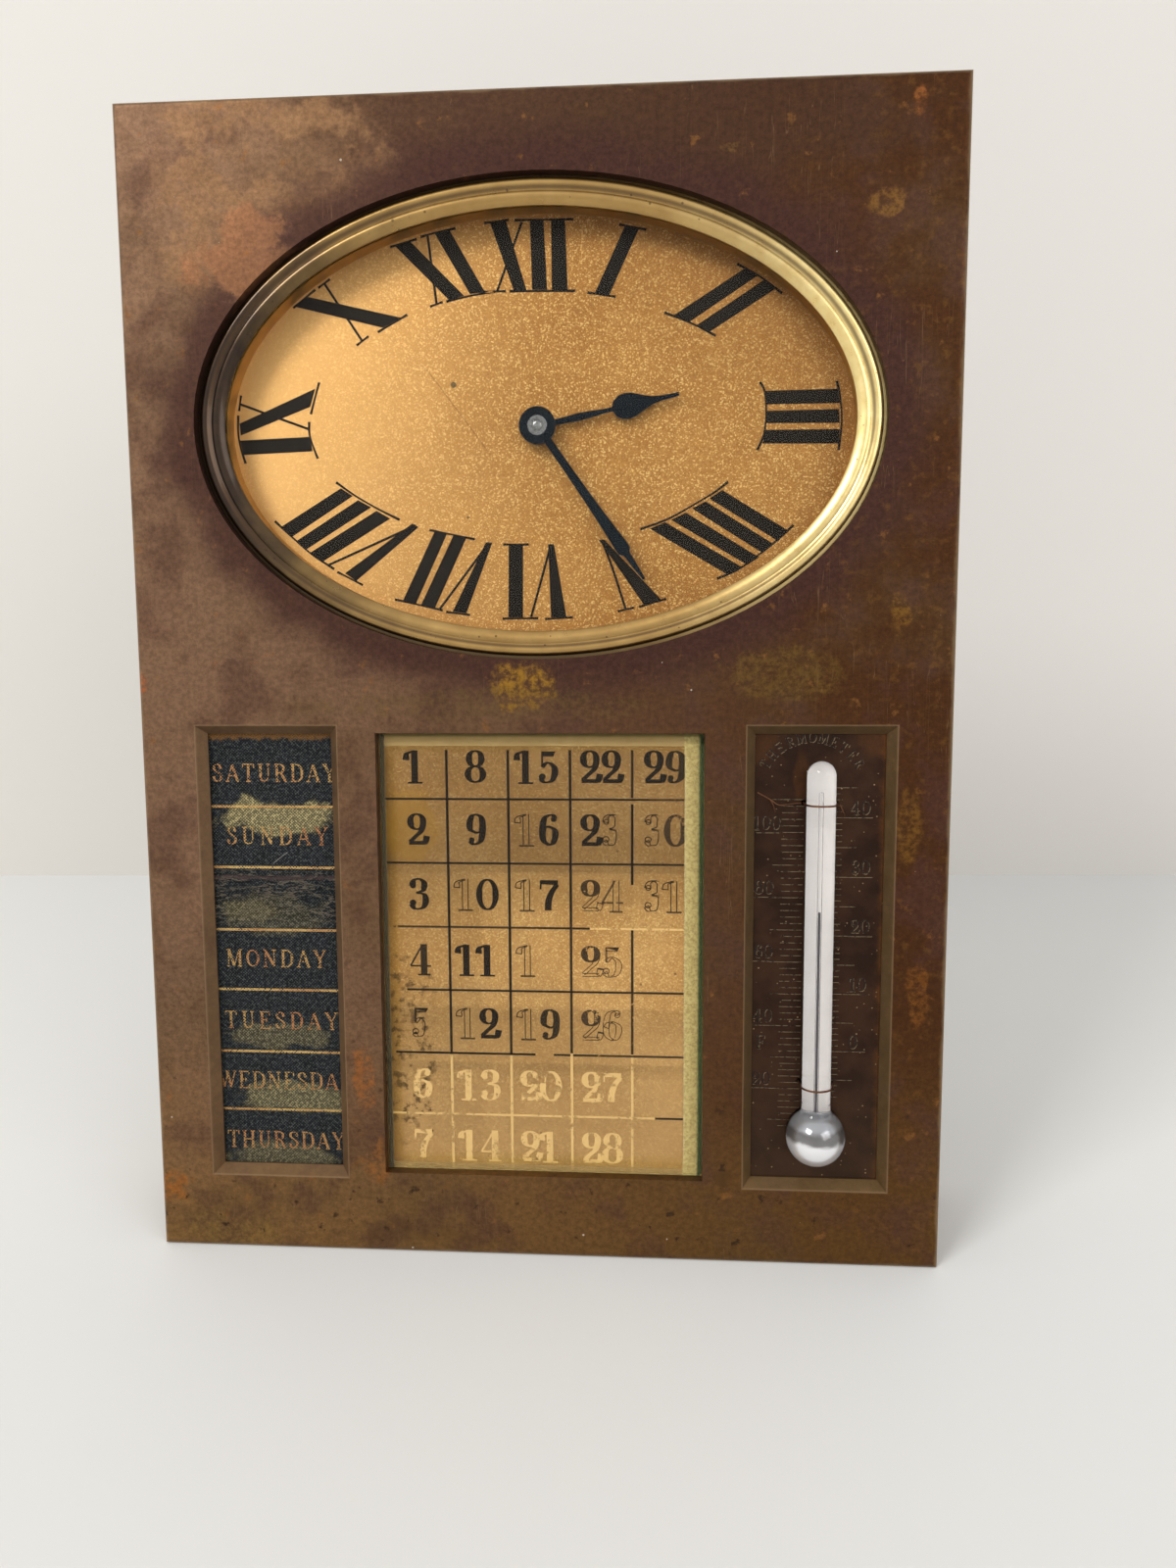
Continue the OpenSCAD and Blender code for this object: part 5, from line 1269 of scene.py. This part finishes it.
def engraved_scale():
    """The engraved word over the tube, the numbers of both scales, and both sets of ticks."""
    layers = defaultdict(list)
    pen = (0.16, 0.08)
    size = 1.6
    for i, sign in enumerate("THERMOMETER"):
        angle = math.radians(-60 + 12 * i)
        swing = Matrix.Rotation(-angle, 2)
        middle = Vector((42.8 + 8.3 * math.sin(angle), 77.4 + 8.3 * math.cos(angle)))
        corner = middle - swing @ Vector((GLYPHS[sign][0] / 100 * size, size)) / 2
        set_sign(layers, sign, corner.x, corner.y, size, *pen, turn=-angle)
    for text, middle, up in SCALE_TEXTS:
        set_word(layers, text, middle, up + 0.45, 2.2, *pen)
        if text != "F":
            half = 1.9 if text != "100" else 2.1
            layers[9].append(line_between((middle - half, up), (middle + half, up), 0.13))
    for degree in range(-8, 46):
        up = 35.35 + 0.945 * degree
        layers[10].append(line_between((46.5, up), (47.6 if degree % 5 else 49.9, up), 0.1))
    for rank in range(-6, 46):
        up = 29.05 + 1.043 * rank
        layers[10].append(line_between((38.2 if rank % 5 else 36.6, up), (41.6, up), 0.1))
    gathered(stamped(layers, PLATE_DEEP, INK_THICK), "scale_engraving", "engraving")
    # A lighter copy a hair lower and to the right is the painted highlight on the lower edge of each cut.
    gathered(stamped(shifted(layers, 0.07, -0.09), PLATE_DEEP, 0.012), "scale_burr", "burr")


def pane_rim():
    """The bevel of the date pane, its reflections and shade painted on a thin frame lying close behind the
    glass.
    """
    frame_lines = strokes("-25.7 14 26.1 14 26.1 86.2 -25.7 86.2, -24.7 15 22.9 15 22.9 84.1 -24.7 84.1")
    gathered(stamped({0: frame_lines}, CLOTH_DEEP, INK_THICK), "pane_rim", "bevel_haze")


def hand_pin():
    """The domed steel pin that holds the hands, in the recess of their boss."""
    rings = []
    for radius, out in pairs("0 0 0.85 0 0.85 0.12 0.72 0.27 0.45 0.36 0 0.4"):
        rings.append([(x, y, out - PIN_DEEP) for x, y in around(0, DIAL_UP, radius, radius, 32)])
    pin = smoothed(lay(grid_piece(rings, closed_along=False)), 35)
    gathered([pin], "hand_pin", "pin_steel", "minute")


# ---------------------------------------------------------------- table, wall, lamps and camera
def plain_ground(shade, seen_behind=True):
    """Evenly painted ground; a wall that isn't seen from behind lets the back of the clock be looked at."""
    def build(place):
        colour = mixed(shade, shade, cloud(place, 0.004, 2))
        if seen_behind:
            return surface(colour)
        return surface(colour, alpha=1 - wired("NewGeometry", {}, "Backfacing", place.tree))
    return build


def ground(name, build, rough, place):
    bpy.ops.object.select_all(action="DESELECT")
    bpy.ops.mesh.primitive_grid_add(x_subdivisions=4, y_subdivisions=4, size=6, location=(0, 0, 0))
    piece = bpy.context.object
    piece.name = name
    piece.data.materials.append(finish_of(name, build, in_mm, {"Roughness": rough}))
    return lay(piece, place)


def studio():
    upright = (Matrix.Translation((0, 0.1637, 2.99)) @ Matrix.Rotation(math.radians(1.5), 4, "Z")
               @ Matrix.Rotation(math.radians(90), 4, "X"))
    table = ground("table", plain_ground("e2e2e0"), 0.7, Matrix.Identity(4))
    wall = ground("wall", plain_ground("e2ded8", False), 0.8, upright)


def lamp(name, place, aim, size, power, tint):
    bpy.ops.object.light_add(type="AREA", location=place)
    light = bpy.context.object
    light.name = name
    light.data.shape = "RECTANGLE"
    light.data.size, light.data.size_y = size
    light.data.energy = power
    light.data.color = tint
    light.rotation_euler = (Vector(aim) - Vector(place)).to_track_quat("-Z", "Y").to_euler()


def soft_light():
    lamp("key_lamp", (-0.75, -0.75, 1.05), (0, 0, 0.08), (0.5, 0.36), 9.2, (0.995, 0.985, 0.97))
    lamp("fill_lamp", (0.9, -0.9, 0.7), (0, 0, 0.1), (0.9, 0.7), 4.8, (0.97, 0.985, 1))
    world = bpy.data.worlds.new("studio")
    bpy.context.scene.world = world
    world.use_nodes = True
    tree = world.node_tree
    tree.nodes.clear()
    direct, glossy, through = (wired("LightPath", {}, f"Is {ray} Ray", tree)
                               for ray in ("Camera", "Glossy", "Transmission"))
    strength = direct.most(glossy).most(through) * 0.36 + 0.64
    light = wired("Background", {"Color": (1, 1, 1, 1), "Strength": strength})
    end = tree.nodes.new("ShaderNodeOutputWorld")
    tree.links.new(light.socket, end.inputs["Surface"])


def stand_camera():
    bpy.ops.object.select_all(action="DESELECT")
    bpy.ops.object.camera_add(location=(0.02118, -0.17333, 0.12931))
    camera = bpy.context.object
    camera.name = "camera"
    right = Vector((0.9974, 0.0702, -0.0170)).normalized()
    back = Vector((0.0721, -0.9562, 0.2838)).normalized()
    up = back.cross(right).normalized()
    camera.rotation_euler = Matrix((up.cross(back), up, back)).transposed().to_euler()
    camera.data.lens = 26.88
    camera.data.sensor_width = 36
    camera.data.clip_start = 0.01
    bpy.context.scene.camera = camera


bpy.context.scene.view_settings.view_transform = "Standard"
stand_camera()
dress_nodes()
rolled_bezel()
painted_numerals()
printed_dates()
woven_belt()
stamped_days()
glass_tube()
wire_ends()
engraved_scale()
pane_rim()
hand_pin()
studio()
soft_light()
